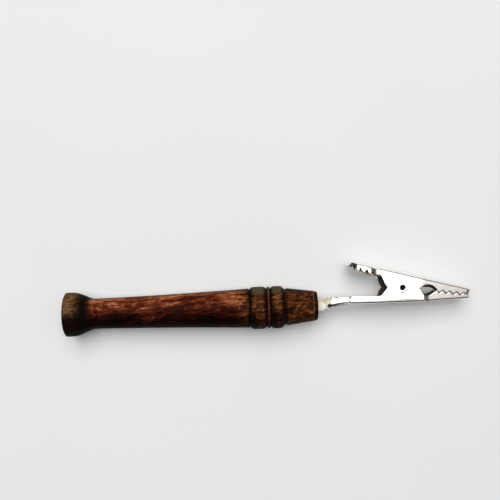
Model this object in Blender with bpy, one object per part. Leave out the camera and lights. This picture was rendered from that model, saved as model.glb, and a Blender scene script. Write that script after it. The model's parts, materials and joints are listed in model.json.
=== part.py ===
"""A toothed spring clip on a turned wooden handle, lying on its side.

Row frame: the origin is the centre of the handle's butt face, +X runs along the handle towards the
jaws, +Y points to the thumb pad's side and +Z is along the pivot rivet. Everything is symmetric about
z = 0 except the torsion spring.
"""

import math
from collections import namedtuple

import bmesh
import bpy
from mathutils import Matrix, Vector

MM = 0.001
GAP = 0.3 * MM  # left between pieces that touch on the real object

# Turned handle: distances are measured from the butt face
HANDLE_LENGTH = 86.3 * MM
KNOB_RADIUS = 7.6 * MM
KNOB_END = 10.2 * MM
FLANK_START = 1.5 * MM
FLANK_SKEW = 1.2  # above 1 the knob stays wide for longer before it falls to the neck
RIM_RADIUS = 0.4 * MM
NECK_RADIUS = 5.24 * MM
BARREL_END = 62.8 * MM
BARREL_RADIUS = 6.74 * MM
BARREL_SWELL = 1.45  # above 1 the barrel thickens mostly towards the beads
BEAD_RADIUS = 7.27 * MM
RING_RADIUS = 7.08 * MM
GROOVE_RADIUS = 6.35 * MM
BEADS = ((63.25 * MM, 68.8 * MM), (70.3 * MM, 74.6 * MM))
BEAD_STATIONS = (0, 0.06, 0.2, 0.5, 0.8, 0.94, 1)  # shares of a bead's length
BEAD_FLATNESS = 4
RING = (68.95 * MM, 70.15 * MM)
CONE_GROOVE = ((74.9 * MM, 6.4 * MM), (75.35 * MM, 5.95 * MM))  # (distance, radius)
CONE_START = 75.8 * MM
CONE_RADIUS = 6.4 * MM
NOSE_RADIUS = 5.1 * MM
NOSE_CHAMFER = 0.45 * MM
HANDLE_SIDES = 36

# Steel stem in the handle's bore
STEM_RADIUS = 1.2 * MM
STEM_SIDES = 14
STEM_DEPTH = 25 * MM
STEM_END = 96.3 * MM
BORE_RADIUS = STEM_RADIUS + GAP
TANG_HALF_HEIGHT = 0.6 * MM
TANG_RISE = 1.65 * MM
JOGGLE = (87.3 * MM, 91.3 * MM)  # where the stem steps up and flattens into its tang
GLUE_SWELL = (2.05 * MM, 2.15 * MM, 2.1 * MM, 2.0 * MM, 1.85 * MM, 1.75 * MM)
GLUE_RISE = 0.3 * MM

# Folded sheet steel of both jaws
SHEET = 0.45 * MM
BEND_RADIUS = 0.65 * MM
BEND_STEPS = 3
LEAST_BEND = 0.02 * MM
SHALLOW_BEND = 0.8  # where a wall is shallow, the bend takes this much of its depth
WALL_STEPS = 3  # points down each wall
RIM_GAP = 0.1 * MM  # between the ears and the rivet's heads
EAR_HALF_WIDTH = 4.3 * MM
INNER_HALF_WIDTH = 3.5 * MM
TIP_HALF_WIDTH = 2.3 * MM
TAIL_HALF_WIDTH = 2.8 * MM
PAD_HALF_WIDTH = 4.6 * MM
TIP = 138.4 * MM
TIP_SLANT = 0.39  # the jaws' ends lean this far along X for each unit of height

# Pivot, rivet and spring
PIVOT = Vector((115.08 * MM, 5.37 * MM))
RIVET_HOLE_RADIUS = 1.45 * MM
RIVET_BARREL_RADIUS = 1.25 * MM
RIVET_BORE_RADIUS = 0.92 * MM
RIVET_HEAD_RADIUS = 1.85 * MM
RIVET_HEAD_HEIGHT = 0.25 * MM
RIVET_HEAD_ROUND = (0.05 * MM, 0.3 * MM)  # how far the head draws in at mid height and at its top
RIVET_LIP = 0.15 * MM
WIRE_RADIUS = 0.375 * MM
COIL_RADIUS = 1.95 * MM
COIL_HALF_LENGTH = 2.2 * MM
COIL_TURNS = 3
COIL_STEPS = 16  # points on one turn
COIL_ANGLES = (math.radians(-80.2), math.radians(71.4))  # where the two legs leave the coil
TAIL_LEG = ((102.8 * MM, 1.46 * MM), (104.6 * MM, 1.5 * MM))
PAD_LEG = (
    (107.6 * MM, 9.95 * MM),
    (104.6 * MM, 10.3 * MM),
    (103.4 * MM, 10.51 * MM),
    (102.7 * MM, 10.82 * MM),
    (100.1 * MM, 12.6 * MM),
)

# Tooth line: a ray from the pivot along which both jaws' teeth lie
TOOTH_ANGLE = math.radians(-8.23)
TOOTH_START = 11.6 * MM
TOOTH_PITCH = 2.45 * MM
TOOTH_HEIGHT = 1.05 * MM
TOOTH_GAP = 0.36 * MM
TOOTH_COUNT = 5
TOOTH_RUN_OUT = 0.55  # part of half a pitch left between the last tooth's point and the tip
EYE_START = 6.1 * MM
EYE_END = 12.0 * MM

# One side of the eye between the pivot and the teeth: how far it bulges, how far its corners stand off
# the tooth line, and the skew and power of its sine curve
EyeSide = namedtuple("EyeSide", "bulge base skew power")
LOWER_EYE = EyeSide(-2.05 * MM, 0.05 * MM, 0.75, 1.3)
UPPER_EYE = EyeSide(1.7 * MM, 0.3 * MM, 1.0, 0.65)

# Ears round the pivot, and the notch behind them
LOWER_EAR_RADIUS = 2.6 * MM
UPPER_EAR_RADIUS = 2.3 * MM
LOWER_NOTCH = (
    (107.84 * MM, 2.78 * MM),
    (109.05 * MM, 4.3 * MM),
    (110.12 * MM, 5.56 * MM),
    (110.5 * MM, 6 * MM),
)
UPPER_NOTCH = (
    (107.95 * MM, 9.85 * MM),
    (108.51 * MM, 8.98 * MM),
    (109.0 * MM, 7.8 * MM),
    (109.31 * MM, 6.88 * MM),
    (110.12 * MM, 5.56 * MM),
)

# Backs of the two jaws
LOWER_BACK = 0.32 * MM
LOWER_BACK_TIP = 0.82 * MM
TAIL_START = 90.2 * MM
TAIL_TOP = 2.78 * MM
CRIMP_HALF_WIDTH = 2.72 * MM
CRIMP_HEIGHT = 2.66 * MM
CRIMP_CUT = 1.2 * MM  # the tail's end leans this far back along its top
CRIMP_CUT_LENGTH = 2.4 * MM  # stretch over which the sections come upright again
CRIMP_FLARE = 0.8 * MM  # how far the crimp's back sinks towards the tail's end
CRIMP_SEAM = 0.3 * MM  # left open where the two rolled walls meet
UNROLLING = (97 * MM, 97.9 * MM)  # where the crimp opens into the channel
TAPER_START = 122.08 * MM
JOG_END = 123.58 * MM
LIP_TURN = 0.45 * MM  # how far the walls turn in at the very tip
LIP_LENGTH = 0.9 * MM
UPPER_BACK_TIP = 4.05 * MM
UPPER_SLOPE = 0.2615
LEANING_LENGTH = 5 * MM  # stretch over which the sections come to lean like the slanted tip
LEANING_PASSES = 4  # rounds in which a leaning section finds its point on the sloping back

# Thumb pad
PAD_END = 96.9 * MM
PAD_CORNER = 98.9 * MM
PAD_DEPTH = 2.15 * MM
PAD_LIP_DEPTH = 1.35 * MM
PAD_LEAST_DEPTH = 0.65 * MM
PAD_LIP = (97 * MM, 97.7 * MM)  # where the curled end's sides reach their full depth
PAD_GAP = (98 * MM, 99.9 * MM)  # cut away between the lip and the scalloped flange
PAD_WAIST = (104.3 * MM, 106.8 * MM)  # where the pad narrows to the ears' width
PAD_CURL = math.radians(40)
PAD_ROLL = 1.5 * MM  # length of the curled end
PAD_DROP = 1.55 * MM
PAD_ROLL_POWER = 2.2
PAD_END_STATIONS = (96.9 * MM, 97.1 * MM, 97.5 * MM, 97.8 * MM, 98.1 * MM, 98.5 * MM)
RIB_PITCH = 2.15 * MM
RIB_COUNT = 4
RIB_STEPS = 4  # sections on one rib
RIB_HEIGHT = 0.2 * MM
SCALLOP_DEPTH = 1.15 * MM
SCALLOP_POWER = 6

# One cross-section of a folded jaw: a point on the back, a point on the free edge, the outer half
# width, and how far the walls are rolled shut over the stem, from 0 (a channel) to 1 (a closed crimp)
Section = namedtuple("Section", "back edge half_width rolled", defaults=(0.0,))


def clear_scene():
    for obj in list(bpy.data.objects):
        bpy.data.objects.remove(obj, do_unlink=True)


def mix(low, high, share):
    return low + (high - low) * share


def smooth_step(low, high, value):
    share = min(max((value - low) / (high - low), 0.0), 1.0)
    return share * share * (3 - 2 * share)


def spread(low, high, count):
    """count values from low to high, both included."""
    return [mix(low, high, i / (count - 1)) for i in range(count)]


def material(name, colour, roughness, metallic):
    made = bpy.data.materials.new(name)
    made.use_nodes = True
    shader = made.node_tree.nodes["Principled BSDF"]
    shader.inputs["Base Color"].default_value = (*colour, 1)
    shader.inputs["Roughness"].default_value = roughness
    shader.inputs["Metallic"].default_value = metallic
    return made


def add_object(name, bm, finish, smooth_angle=35):
    bmesh.ops.recalc_face_normals(bm, faces=bm.faces)
    mesh = bpy.data.meshes.new(name)
    bm.to_mesh(mesh)
    bm.free()
    mesh.shade_smooth()
    mesh.set_sharp_from_angle(angle=math.radians(smooth_angle))
    mesh.materials.append(finish)
    obj = bpy.data.objects.new(name, mesh)
    bpy.context.scene.collection.objects.link(obj)
    return obj


def set_origin(obj, point):
    """Moves the object's origin to a point and keeps its mesh where it is."""
    obj.data.transform(Matrix.Translation(-Vector(point)))
    obj.location = point


def turned(name, profile, axis, finish, sides):
    """A closed solid turned round an axis through the origin from a profile that starts and ends on it
    or that closes on itself."""
    bm = bmesh.new()
    points = [bm.verts.new(point) for point in profile]
    edges = [bm.edges.new(pair) for pair in zip(points, points[1:])]
    bmesh.ops.spin(bm, geom=points + edges, cent=(0, 0, 0), axis=axis, angle=math.tau, steps=sides)
    bmesh.ops.remove_doubles(bm, verts=bm.verts, dist=0.0005 * MM)
    return add_object(name, bm, finish)


def lofted(rings, closed_ends):
    """Quads between neighbouring rings of points, with the last ring joined to the first if the ends
    aren't closed by a face."""
    bm = bmesh.new()
    made = [[bm.verts.new(point) for point in ring] for ring in rings]
    pairs = list(zip(made, made[1:]))
    if not closed_ends:
        pairs.append((made[-1], made[0]))
    for first, second in pairs:
        for i in range(len(first)):
            j = (i + 1) % len(first)
            bm.faces.new((first[i], first[j], second[j], second[i]))
    if closed_ends:
        bm.faces.new(made[0])
        bm.faces.new(made[-1])
    return bm


def oval(x, y, half_height, half_width, sides):
    angles = [math.tau * i / sides for i in range(sides)]
    return [(x, y + half_height * math.cos(a), half_width * math.sin(a)) for a in angles]


# ---- handle -----------------------------------------------------------------------------------------


def bead(start, end, radius, root):
    """A turned bead: a nearly flat top with rounded shoulders, from one groove to the next."""
    points = []
    for share in BEAD_STATIONS:
        height = math.sqrt(1 - abs(2 * share - 1) ** BEAD_FLATNESS)
        points.append((mix(start, end, share), mix(root, radius, height)))
    return points


def handle_outline():
    """(distance, radius) along the outside, from the butt face's centre to the bore's mouth."""
    outline = [(0, 0)]
    for angle in spread(0, math.pi / 2, 4):
        radius = KNOB_RADIUS - RIM_RADIUS * (1 - math.sin(angle))
        outline.append((RIM_RADIUS * (1 - math.cos(angle)), radius))
    for share in spread(0, 1, 10)[1:]:
        fall = (1 + math.cos(math.pi * share**FLANK_SKEW)) / 2
        outline.append((mix(FLANK_START, KNOB_END, share), mix(NECK_RADIUS, KNOB_RADIUS, fall)))
    for share in spread(0, 1, 8)[1:]:
        radius = mix(NECK_RADIUS, BARREL_RADIUS, share**BARREL_SWELL)
        outline.append((mix(KNOB_END, BARREL_END, share), radius))
    outline += bead(*BEADS[0], BEAD_RADIUS, GROOVE_RADIUS)
    outline += bead(*RING, RING_RADIUS, GROOVE_RADIUS)[2:5]
    outline += bead(*BEADS[1], BEAD_RADIUS, GROOVE_RADIUS)[:-1]
    outline += [*CONE_GROOVE, (CONE_START, CONE_RADIUS)]
    outline.append((HANDLE_LENGTH - NOSE_CHAMFER, NOSE_RADIUS))
    outline.append((HANDLE_LENGTH, NOSE_RADIUS - NOSE_CHAMFER))
    return outline


def make_handle(wood):
    bore_end = HANDLE_LENGTH - STEM_DEPTH - GAP
    outline = handle_outline()
    outline += [(HANDLE_LENGTH, BORE_RADIUS), (bore_end, BORE_RADIUS), (bore_end - BORE_RADIUS / 2, 0)]
    return turned("handle", [(x, radius, 0) for x, radius in outline], (1, 0, 0), wood, HANDLE_SIDES)


def stem_section(x):
    """The stem's centre height and half height where it crosses x."""
    share = smooth_step(*JOGGLE, x)
    return TANG_RISE * share, mix(STEM_RADIUS, TANG_HALF_HEIGHT, share)


def make_stem(steel):
    stations = [HANDLE_LENGTH - STEM_DEPTH, *spread(*JOGGLE, 7), STEM_END]
    rings = []
    for x in stations:
        y, half_height = stem_section(x)
        rings.append(oval(x, y, half_height, STEM_RADIUS, STEM_SIDES))
    return add_object("stem", lofted(rings, closed_ends=True), steel)


def make_glue_collar(glue):
    """A bead of glue round the stem, between the handle's nose and the crimped tail."""
    stations = spread(HANDLE_LENGTH + GAP, TAIL_START - GAP, len(GLUE_SWELL))
    outer, inner = [], []
    for x, radius in zip(stations, GLUE_SWELL):
        y, half_height = stem_section(x)
        rise = max(GLUE_RISE, y - GLUE_RISE)
        outer.append(oval(x, rise, radius, radius, STEM_SIDES))
        inner.append(oval(x, y, half_height + GAP / 2, STEM_RADIUS + GAP / 2, STEM_SIDES))
    return add_object("glue_collar", lofted(outer + inner[::-1], closed_ends=False), glue)


# ---- folded jaws ------------------------------------------------------------------------------------


def bend_points(width, bend, inset):
    """(depth, side) round the bend between a wall and the back, from the wall to the back."""
    points = []
    for angle in spread(0, math.pi / 2, BEND_STEPS + 1):
        points.append((inset + bend * (1 - math.sin(angle)), width - bend * (1 - math.cos(angle))))
    return points


def section_points(section, inset):
    """Points across one section, from one free edge over the back to the other, on the outer surface
    (inset 0) or on the inner one (inset of the sheet's thickness)."""
    back, edge = Vector(section.back), Vector(section.edge)
    depth = (edge - back).length
    down = (edge - back) / depth
    width = section.half_width - inset
    bend = max(min(BEND_RADIUS, SHALLOW_BEND * depth) - inset, LEAST_BEND)
    open_wall = [(mix(depth, inset + bend, i / WALL_STEPS), width) for i in range(WALL_STEPS)]
    roof = depth - inset
    shut_wall = [(roof, CRIMP_SEAM / 2), (roof, width - bend), (roof - bend, width)]
    wall = []
    for opened, shut in zip(open_wall, shut_wall):
        wall.append((mix(opened[0], shut[0], section.rolled), mix(opened[1], shut[1], section.rolled)))
    half = wall + bend_points(width, bend, inset)
    across = half + [(deep, -side) for deep, side in half[::-1]]
    return [(*(back + down * deep), side) for deep, side in across]


def folded_jaw(name, sections, steel):
    """One closed body of sheet: outer skin, inner skin and the cut edge round both."""
    bm = bmesh.new()
    outer = [[bm.verts.new(p) for p in section_points(section, 0)] for section in sections]
    inner = [[bm.verts.new(p) for p in section_points(section, SHEET)] for section in sections]
    last = len(outer[0]) - 1
    for i in range(len(sections) - 1):
        for j in range(last):
            bm.faces.new((outer[i][j], outer[i + 1][j], outer[i + 1][j + 1], outer[i][j + 1]))
            bm.faces.new((inner[i][j], inner[i][j + 1], inner[i + 1][j + 1], inner[i + 1][j]))
        for j in (0, last):
            bm.faces.new((outer[i][j], inner[i][j], inner[i + 1][j], outer[i + 1][j]))
    for i in (0, -1):
        for j in range(last):
            bm.faces.new((outer[i][j], outer[i][j + 1], inner[i][j + 1], inner[i][j]))
    jaw = add_object(name, bm, steel)
    drill(jaw)
    return jaw


def drill(jaw):
    """Cuts the rivet's hole through both walls, and puts the jaw's origin on the pivot."""
    bm = bmesh.new()
    centre = Matrix.Translation((*PIVOT, 0))
    bmesh.ops.create_cone(
        bm,
        cap_ends=True,
        segments=24,
        radius1=RIVET_HOLE_RADIUS,
        radius2=RIVET_HOLE_RADIUS,
        depth=4 * EAR_HALF_WIDTH,
        matrix=centre,
    )
    cutter = add_object(jaw.name + "_drill", bm, jaw.data.materials[0])
    cutter.hide_render = True
    cutter.display_type = "WIRE"
    cut = jaw.modifiers.new("rivet_hole", "BOOLEAN")
    cut.operation = "DIFFERENCE"
    cut.solver = "EXACT"
    cut.object = cutter


def on_tooth_line(along, above):
    """A point given by its distance from the pivot along the tooth line and its height above it."""
    direction = Vector((math.cos(TOOTH_ANGLE), math.sin(TOOTH_ANGLE)))
    normal = Vector((-direction.y, direction.x))
    return PIVOT + direction * along + normal * above


def tooth_edge(shift):
    """The zigzag edge from the eye's front corner to the tip, moved up or down by shift."""
    points = []
    for i in range(2 * TOOTH_COUNT):
        above = TOOTH_HEIGHT / 2 * (1 if i % 2 == 0 else -1)
        along = max(TOOTH_START + i * TOOTH_PITCH / 2, EYE_END)
        points.append(on_tooth_line(along, above + shift))
    half_pitches = 2 * TOOTH_COUNT - 1 + TOOTH_RUN_OUT
    points.append(on_tooth_line(TOOTH_START + half_pitches * TOOTH_PITCH / 2, shift))
    return points


def eye_edge(side):
    """One side of the eye behind the teeth, from its rear corner to just short of its front one."""
    points = []
    for share in spread(0, 1, 9)[:-1]:
        along = mix(EYE_START, EYE_END, share)
        above = side.base + side.bulge * math.sin(math.pi * share**side.skew) ** side.power
        points.append(on_tooth_line(along, above))
    return points


def ear_arc(radius, entry, leaving, side, count):
    """An arc round the pivot, met by tangents from entry and to leaving: side is 1 over the top of the
    pivot and -1 underneath it."""
    ends = []
    for point, turn in ((entry, -1), (leaving, 1)):
        away = Vector(point) - PIVOT
        ends.append(math.atan2(away.y, away.x) % math.tau + side * turn * math.acos(radius / away.length))
    start, end = ends
    if side < 0 and end < start:
        end += math.tau
    if side > 0 and end > start:
        end -= math.tau
    angles = spread(start, end, count)
    return [PIVOT + radius * Vector((math.cos(a), math.sin(a))) for a in angles]


def lower_back(x):
    return mix(LOWER_BACK, LOWER_BACK_TIP, max(x - TAPER_START, 0) / (TIP - TAPER_START))


def upper_back(x):
    return UPPER_BACK_TIP + UPPER_SLOPE * (TIP - x)


def jaw_half_width(x):
    """Half width of the tapered front of both jaws."""
    share = min(max((x - TAPER_START) / (TIP - TAPER_START), 0.0), 1.0)
    turned_in = LIP_TURN * smooth_step(TIP - LIP_LENGTH, TIP, x)
    return mix(INNER_HALF_WIDTH, TIP_HALF_WIDTH, share) - turned_in


def lower_half_width(x):
    tail = mix(TAIL_HALF_WIDTH, EAR_HALF_WIDTH, smooth_step(UNROLLING[1], LOWER_NOTCH[0][0], x))
    return mix(tail, jaw_half_width(x), smooth_step(TAPER_START, JOG_END, x))


def leaning_back(edge, height):
    """The back point of a section whose free edge is given: sections lean near the tip, like its end."""
    lean = smooth_step(TIP - LEANING_LENGTH, TIP, edge.x) * TIP_SLANT
    x = edge.x
    for _ in range(LEANING_PASSES):
        x = edge.x - (edge.y - height(x)) * lean
    return Vector((x, height(x)))


def crimp_back(x):
    return LOWER_BACK - CRIMP_FLARE * (1 - smooth_step(TAIL_START, UNROLLING[1], x))


def crimp_sections():
    """The tail's end, rolled over the stem, with its upper corner cut at an angle."""
    sections = []
    top = LOWER_BACK + CRIMP_HEIGHT
    for share in (1, 0.5, 0):
        x = mix(TAIL_START + CRIMP_CUT_LENGTH, TAIL_START, share)
        edge = (x + CRIMP_CUT * share, top)
        sections.append(Section((x, crimp_back(x)), edge, CRIMP_HALF_WIDTH, 1.0))
    for x in spread(TAIL_START + CRIMP_CUT_LENGTH, UNROLLING[0], 4)[1:-1]:
        sections.append(Section((x, crimp_back(x)), (x, top), CRIMP_HALF_WIDTH, 1.0))
    for x in spread(*UNROLLING, 5):
        rolled = 1 - smooth_step(*UNROLLING, x)
        edge = (x, mix(TAIL_TOP, top, rolled))
        width = mix(TAIL_HALF_WIDTH, CRIMP_HALF_WIDTH, rolled)
        sections.append(Section((x, crimp_back(x)), edge, width, rolled))
    return sections


def lower_jaw_edge():
    """The free edge of the lower jaw, from the tail to the tip."""
    notch = [Vector(point) for point in LOWER_NOTCH]
    eye = eye_edge(LOWER_EYE)
    tail = [Vector((x, TAIL_TOP)) for x in spread(UNROLLING[1], LOWER_NOTCH[0][0], 5)[1:-1]]
    ear = ear_arc(LOWER_EAR_RADIUS, notch[-1], eye[0], side=1, count=6)
    return tail + notch + ear + eye + tooth_edge(-TOOTH_GAP / 2)


def make_lower_jaw(steel):
    sections = crimp_sections()
    for edge in lower_jaw_edge():
        back = leaning_back(edge, lower_back)
        sections.append(Section(back, edge, lower_half_width(back.x)))
    return folded_jaw("lower_jaw", sections, steel)


def pad_lift(x):
    """How far the pad's top stands off the straight back: ribs, and the drop of its curled end."""
    drop = PAD_DROP * (1 - min((x - PAD_END) / PAD_ROLL, 1.0)) ** PAD_ROLL_POWER
    full = min((x - PAD_END) / (PAD_CORNER - PAD_END), 1.0)
    rib = RIB_HEIGHT * (1 - math.cos((x - PAD_CORNER) / RIB_PITCH * math.tau)) / 2
    return -drop - rib * full


def pad_depth(x):
    """How far the pad's sides are turned down: a lip at its end, a gap, then a scalloped flange."""
    if PAD_GAP[0] <= x < PAD_GAP[1]:
        return PAD_LEAST_DEPTH
    if x < PAD_GAP[0]:
        return mix(PAD_LEAST_DEPTH, PAD_LIP_DEPTH, smooth_step(*PAD_LIP, x))
    scallop = math.cos(math.pi * (x - PAD_CORNER) / RIB_PITCH) ** SCALLOP_POWER
    return PAD_DEPTH - SCALLOP_DEPTH * scallop * (1 - smooth_step(*PAD_WAIST, x))


def pad_sections():
    """The ribbed thumb pad: its end curls down, its sides are turned down and its corners are round."""
    ribs = spread(PAD_CORNER, PAD_CORNER + RIB_COUNT * RIB_PITCH, RIB_STEPS * RIB_COUNT + 1)
    sections = []
    for x in [*PAD_END_STATIONS, *ribs]:
        round_share = min((x - PAD_END) / (PAD_CORNER - PAD_END), 1.0)
        corner = math.sqrt(1 - (1 - round_share) ** 2)
        width = mix(INNER_HALF_WIDTH, PAD_HALF_WIDTH, corner)
        width = mix(width, INNER_HALF_WIDTH, smooth_step(*PAD_WAIST, x))
        curl = (1 - round_share) ** 2 * PAD_CURL
        down = Vector((math.sin(curl), -math.cos(curl)))
        back = Vector((x, upper_back(x) + pad_lift(x)))
        sections.append(Section(back, back + down * pad_depth(x), width))
    return sections


def upper_jaw_edge():
    """The free edge of the upper jaw, from behind the pad to the tip."""
    notch = [Vector(point) for point in UPPER_NOTCH]
    eye = eye_edge(UPPER_EYE)
    ear = ear_arc(UPPER_EAR_RADIUS, notch[-1], eye[0], side=-1, count=6)
    return notch + ear + eye + tooth_edge(TOOTH_GAP / 2)


def make_upper_jaw(steel):
    sections = pad_sections()
    for edge in upper_jaw_edge():
        back = leaning_back(edge, upper_back)
        sections.append(Section(back, edge, jaw_half_width(back.x)))
    return folded_jaw("upper_jaw", sections, steel)


# ---- spring and rivet -------------------------------------------------------------------------------


def spring_path():
    """Leg on the tail, coil round the rivet, leg under the thumb pad."""
    turn = COIL_ANGLES[1] - COIL_ANGLES[0] + COIL_TURNS * math.tau
    steps = math.ceil(turn / math.tau * COIL_STEPS)
    coil = []
    for share in spread(0, 1, steps + 1):
        angle = COIL_ANGLES[0] + turn * share
        height = mix(-COIL_HALF_LENGTH, COIL_HALF_LENGTH, share)
        coil.append((*(PIVOT + COIL_RADIUS * Vector((math.cos(angle), math.sin(angle)))), height))
    tail_leg = [(x, y, -COIL_HALF_LENGTH) for x, y in TAIL_LEG]
    pad_leg = [(x, y, COIL_HALF_LENGTH) for x, y in PAD_LEG]
    return tail_leg + coil + pad_leg


def make_spring(wire_steel):
    curve = bpy.data.curves.new("torsion_spring", "CURVE")
    curve.dimensions = "3D"
    curve.bevel_depth = WIRE_RADIUS
    curve.bevel_resolution = 2
    curve.use_fill_caps = True
    curve.materials.append(wire_steel)
    path = spring_path()
    spline = curve.splines.new("POLY")
    spline.points.add(len(path) - 1)
    for point, place in zip(spline.points, path):
        point.co = (*place, 1)
    spline.use_smooth = True
    spring = bpy.data.objects.new("torsion_spring", curve)
    bpy.context.scene.collection.objects.link(spring)
    return spring


def make_rivet(steel):
    """An eyelet: a tube through all four ears with a low rounded head on each side."""
    seat = EAR_HALF_WIDTH + RIM_GAP
    top = seat + RIVET_HEAD_HEIGHT
    half = [
        (RIVET_BARREL_RADIUS, seat),
        (RIVET_HEAD_RADIUS, seat),
        (RIVET_HEAD_RADIUS - RIVET_HEAD_ROUND[0], (seat + top) / 2),
        (RIVET_HEAD_RADIUS - RIVET_HEAD_ROUND[1], top),
        (RIVET_BORE_RADIUS + RIVET_LIP, top),
        (RIVET_BORE_RADIUS, top - RIVET_LIP),
    ]
    outline = half + [(radius, -height) for radius, height in half[::-1]]
    profile = [(radius, 0, height) for radius, height in outline + outline[:1]]
    rivet = turned("pivot_rivet", profile, (0, 0, 1), steel, 28)
    rivet.location = (*PIVOT, 0)
    return rivet


def main():
    clear_scene()
    wood = material("dark_hardwood", (0.16, 0.055, 0.03), 0.45, 0.0)
    plated = material("plated_steel", (0.83, 0.82, 0.8), 0.25, 1.0)
    stem_steel = material("stem_steel", (0.62, 0.61, 0.59), 0.35, 1.0)
    spring_steel = material("spring_steel", (0.5, 0.47, 0.43), 0.35, 1.0)
    glue = material("cream_glue", (0.78, 0.7, 0.52), 0.35, 0.0)

    make_handle(wood)
    make_stem(stem_steel)
    make_glue_collar(glue)
    make_lower_jaw(plated)
    upper = make_upper_jaw(plated)
    make_spring(spring_steel)
    make_rivet(plated)
    set_origin(upper, (*PIVOT, 0))


main()
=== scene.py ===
"""Looks of the handled spring clip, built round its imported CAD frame.

Row frame: the origin is the centre of the handle's butt face, +X runs along the handle to the jaws,
+Y points to the thumb pad's side and +Z is along the pivot rivet. Lengths are metres.
"""

import json
import math
from collections import namedtuple

import bmesh
import bpy
from mathutils import Matrix, Vector, noise
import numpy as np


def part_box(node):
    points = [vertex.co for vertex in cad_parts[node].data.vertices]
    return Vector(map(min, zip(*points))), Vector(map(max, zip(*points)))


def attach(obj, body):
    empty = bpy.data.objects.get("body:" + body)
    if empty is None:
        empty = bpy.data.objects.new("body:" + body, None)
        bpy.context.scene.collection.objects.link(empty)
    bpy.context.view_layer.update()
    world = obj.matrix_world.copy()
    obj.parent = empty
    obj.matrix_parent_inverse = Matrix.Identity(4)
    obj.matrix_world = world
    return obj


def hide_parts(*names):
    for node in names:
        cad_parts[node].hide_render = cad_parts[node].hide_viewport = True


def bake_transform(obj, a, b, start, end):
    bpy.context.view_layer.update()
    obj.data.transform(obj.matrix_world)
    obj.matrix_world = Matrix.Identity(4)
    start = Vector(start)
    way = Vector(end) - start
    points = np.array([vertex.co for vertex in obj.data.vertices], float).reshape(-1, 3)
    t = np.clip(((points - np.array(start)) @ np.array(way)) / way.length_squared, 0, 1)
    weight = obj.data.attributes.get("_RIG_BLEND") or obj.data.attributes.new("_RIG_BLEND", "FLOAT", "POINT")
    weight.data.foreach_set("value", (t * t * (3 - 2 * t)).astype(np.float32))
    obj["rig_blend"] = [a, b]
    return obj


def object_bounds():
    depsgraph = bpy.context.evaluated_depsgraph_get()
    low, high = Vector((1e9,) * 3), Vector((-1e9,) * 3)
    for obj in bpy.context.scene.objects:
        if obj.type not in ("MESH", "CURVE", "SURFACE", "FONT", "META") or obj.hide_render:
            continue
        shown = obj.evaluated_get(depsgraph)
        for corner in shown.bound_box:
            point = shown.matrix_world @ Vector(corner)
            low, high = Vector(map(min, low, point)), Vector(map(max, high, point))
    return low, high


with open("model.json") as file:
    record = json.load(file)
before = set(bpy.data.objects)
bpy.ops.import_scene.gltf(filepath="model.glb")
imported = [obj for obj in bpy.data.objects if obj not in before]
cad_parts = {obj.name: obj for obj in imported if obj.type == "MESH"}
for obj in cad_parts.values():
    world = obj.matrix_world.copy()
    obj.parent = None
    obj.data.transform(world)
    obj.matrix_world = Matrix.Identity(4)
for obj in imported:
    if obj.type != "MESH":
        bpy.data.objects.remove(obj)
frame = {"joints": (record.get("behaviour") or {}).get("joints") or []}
cad_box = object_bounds()

MM = 0.001


def mm(*lengths):
    """The lengths, given in millimetres."""
    return tuple(length * MM for length in lengths)


ROOT_BODY = "handle_and_lower_jaw"
JAW_BODY = "upper_jaw"

# Places taken from the frame
PIVOT = Vector(frame["joints"][0]["pos_m"][:2])
HANDLE_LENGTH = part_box("handle")[1].x
KNOB_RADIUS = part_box("handle")[1].z
STEM_START, STEM_END = (corner.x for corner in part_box("stem"))
TAIL_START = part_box("lower_jaw")[0].x
EAR_HALF_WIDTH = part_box("lower_jaw")[1].z
PAD_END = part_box("upper_jaw")[0].x
PAD_HALF_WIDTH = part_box("upper_jaw")[1].z
TIP = PIVOT.x + 23.32 * MM
FLOOR = cad_box[0][2]

# Turned handle, by distance from the butt face
HANDLE_SIDES = 288
FACE_STEPS = 26
RIM_STEPS = 10
FLANK_STEPS = 44
BARREL_STEPS = 180
BEAD_STEPS = (34, 30)
RING_STEPS = 14
MOUTH_STEPS = 12
FACE_CENTRE = 0.4 * MM
RIM_RADIUS = 0.4 * MM
NECK_RADIUS = 5.24 * MM
KNOB_END = 10.2 * MM
FLANK_START = 1.5 * MM
FLANK_SKEW = 1.2  # above 1 the knob stays wide for longer before it falls to the neck
BARREL_END = 62.8 * MM
BARREL_RADIUS = 6.74 * MM
BARREL_SWELL = 1.45  # above 1 the barrel thickens mostly towards the beads
BEAD_RADIUS = 7.27 * MM
RING_RADIUS = 7.08 * MM
GROOVE_RADIUS = 6.35 * MM
BEADS = (mm(63.25, 68.8), mm(70.3, 74.6))
BEAD_FLATNESS = 4
RING = mm(68.95, 70.15)
CONE_GROOVE = (mm(74.9, 6.4), mm(75.35, 5.95))
CONE_START = 75.8 * MM
CONE_RADIUS = 6.4 * MM
NOSE_RADIUS = 5.1 * MM
NOSE_CHAMFER = 1.25 * MM
NOSE_ROUNDING = (  # (distance behind the nose's face, how far the radius has drawn in)
    (NOSE_CHAMFER, -0.08 * MM),
    mm(0.45, 0.14),
    mm(0.12, 0.28),
    (0, 0.55 * MM),
)
NOSE_FACE_RADIUS = NOSE_RADIUS - 0.7 * MM
BORE_RADIUS = 1.5 * MM
BORE_DEPTH = 3 * MM
TURNING_ROUND = 0.14 * MM
TURNING_STEP = 0.28 * MM
END_GRAIN_SLOPES = (0.10, 0.42)  # slope of the outline from which end grain shows, and shows fully
END_GRAIN_BLUR = 2

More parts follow.
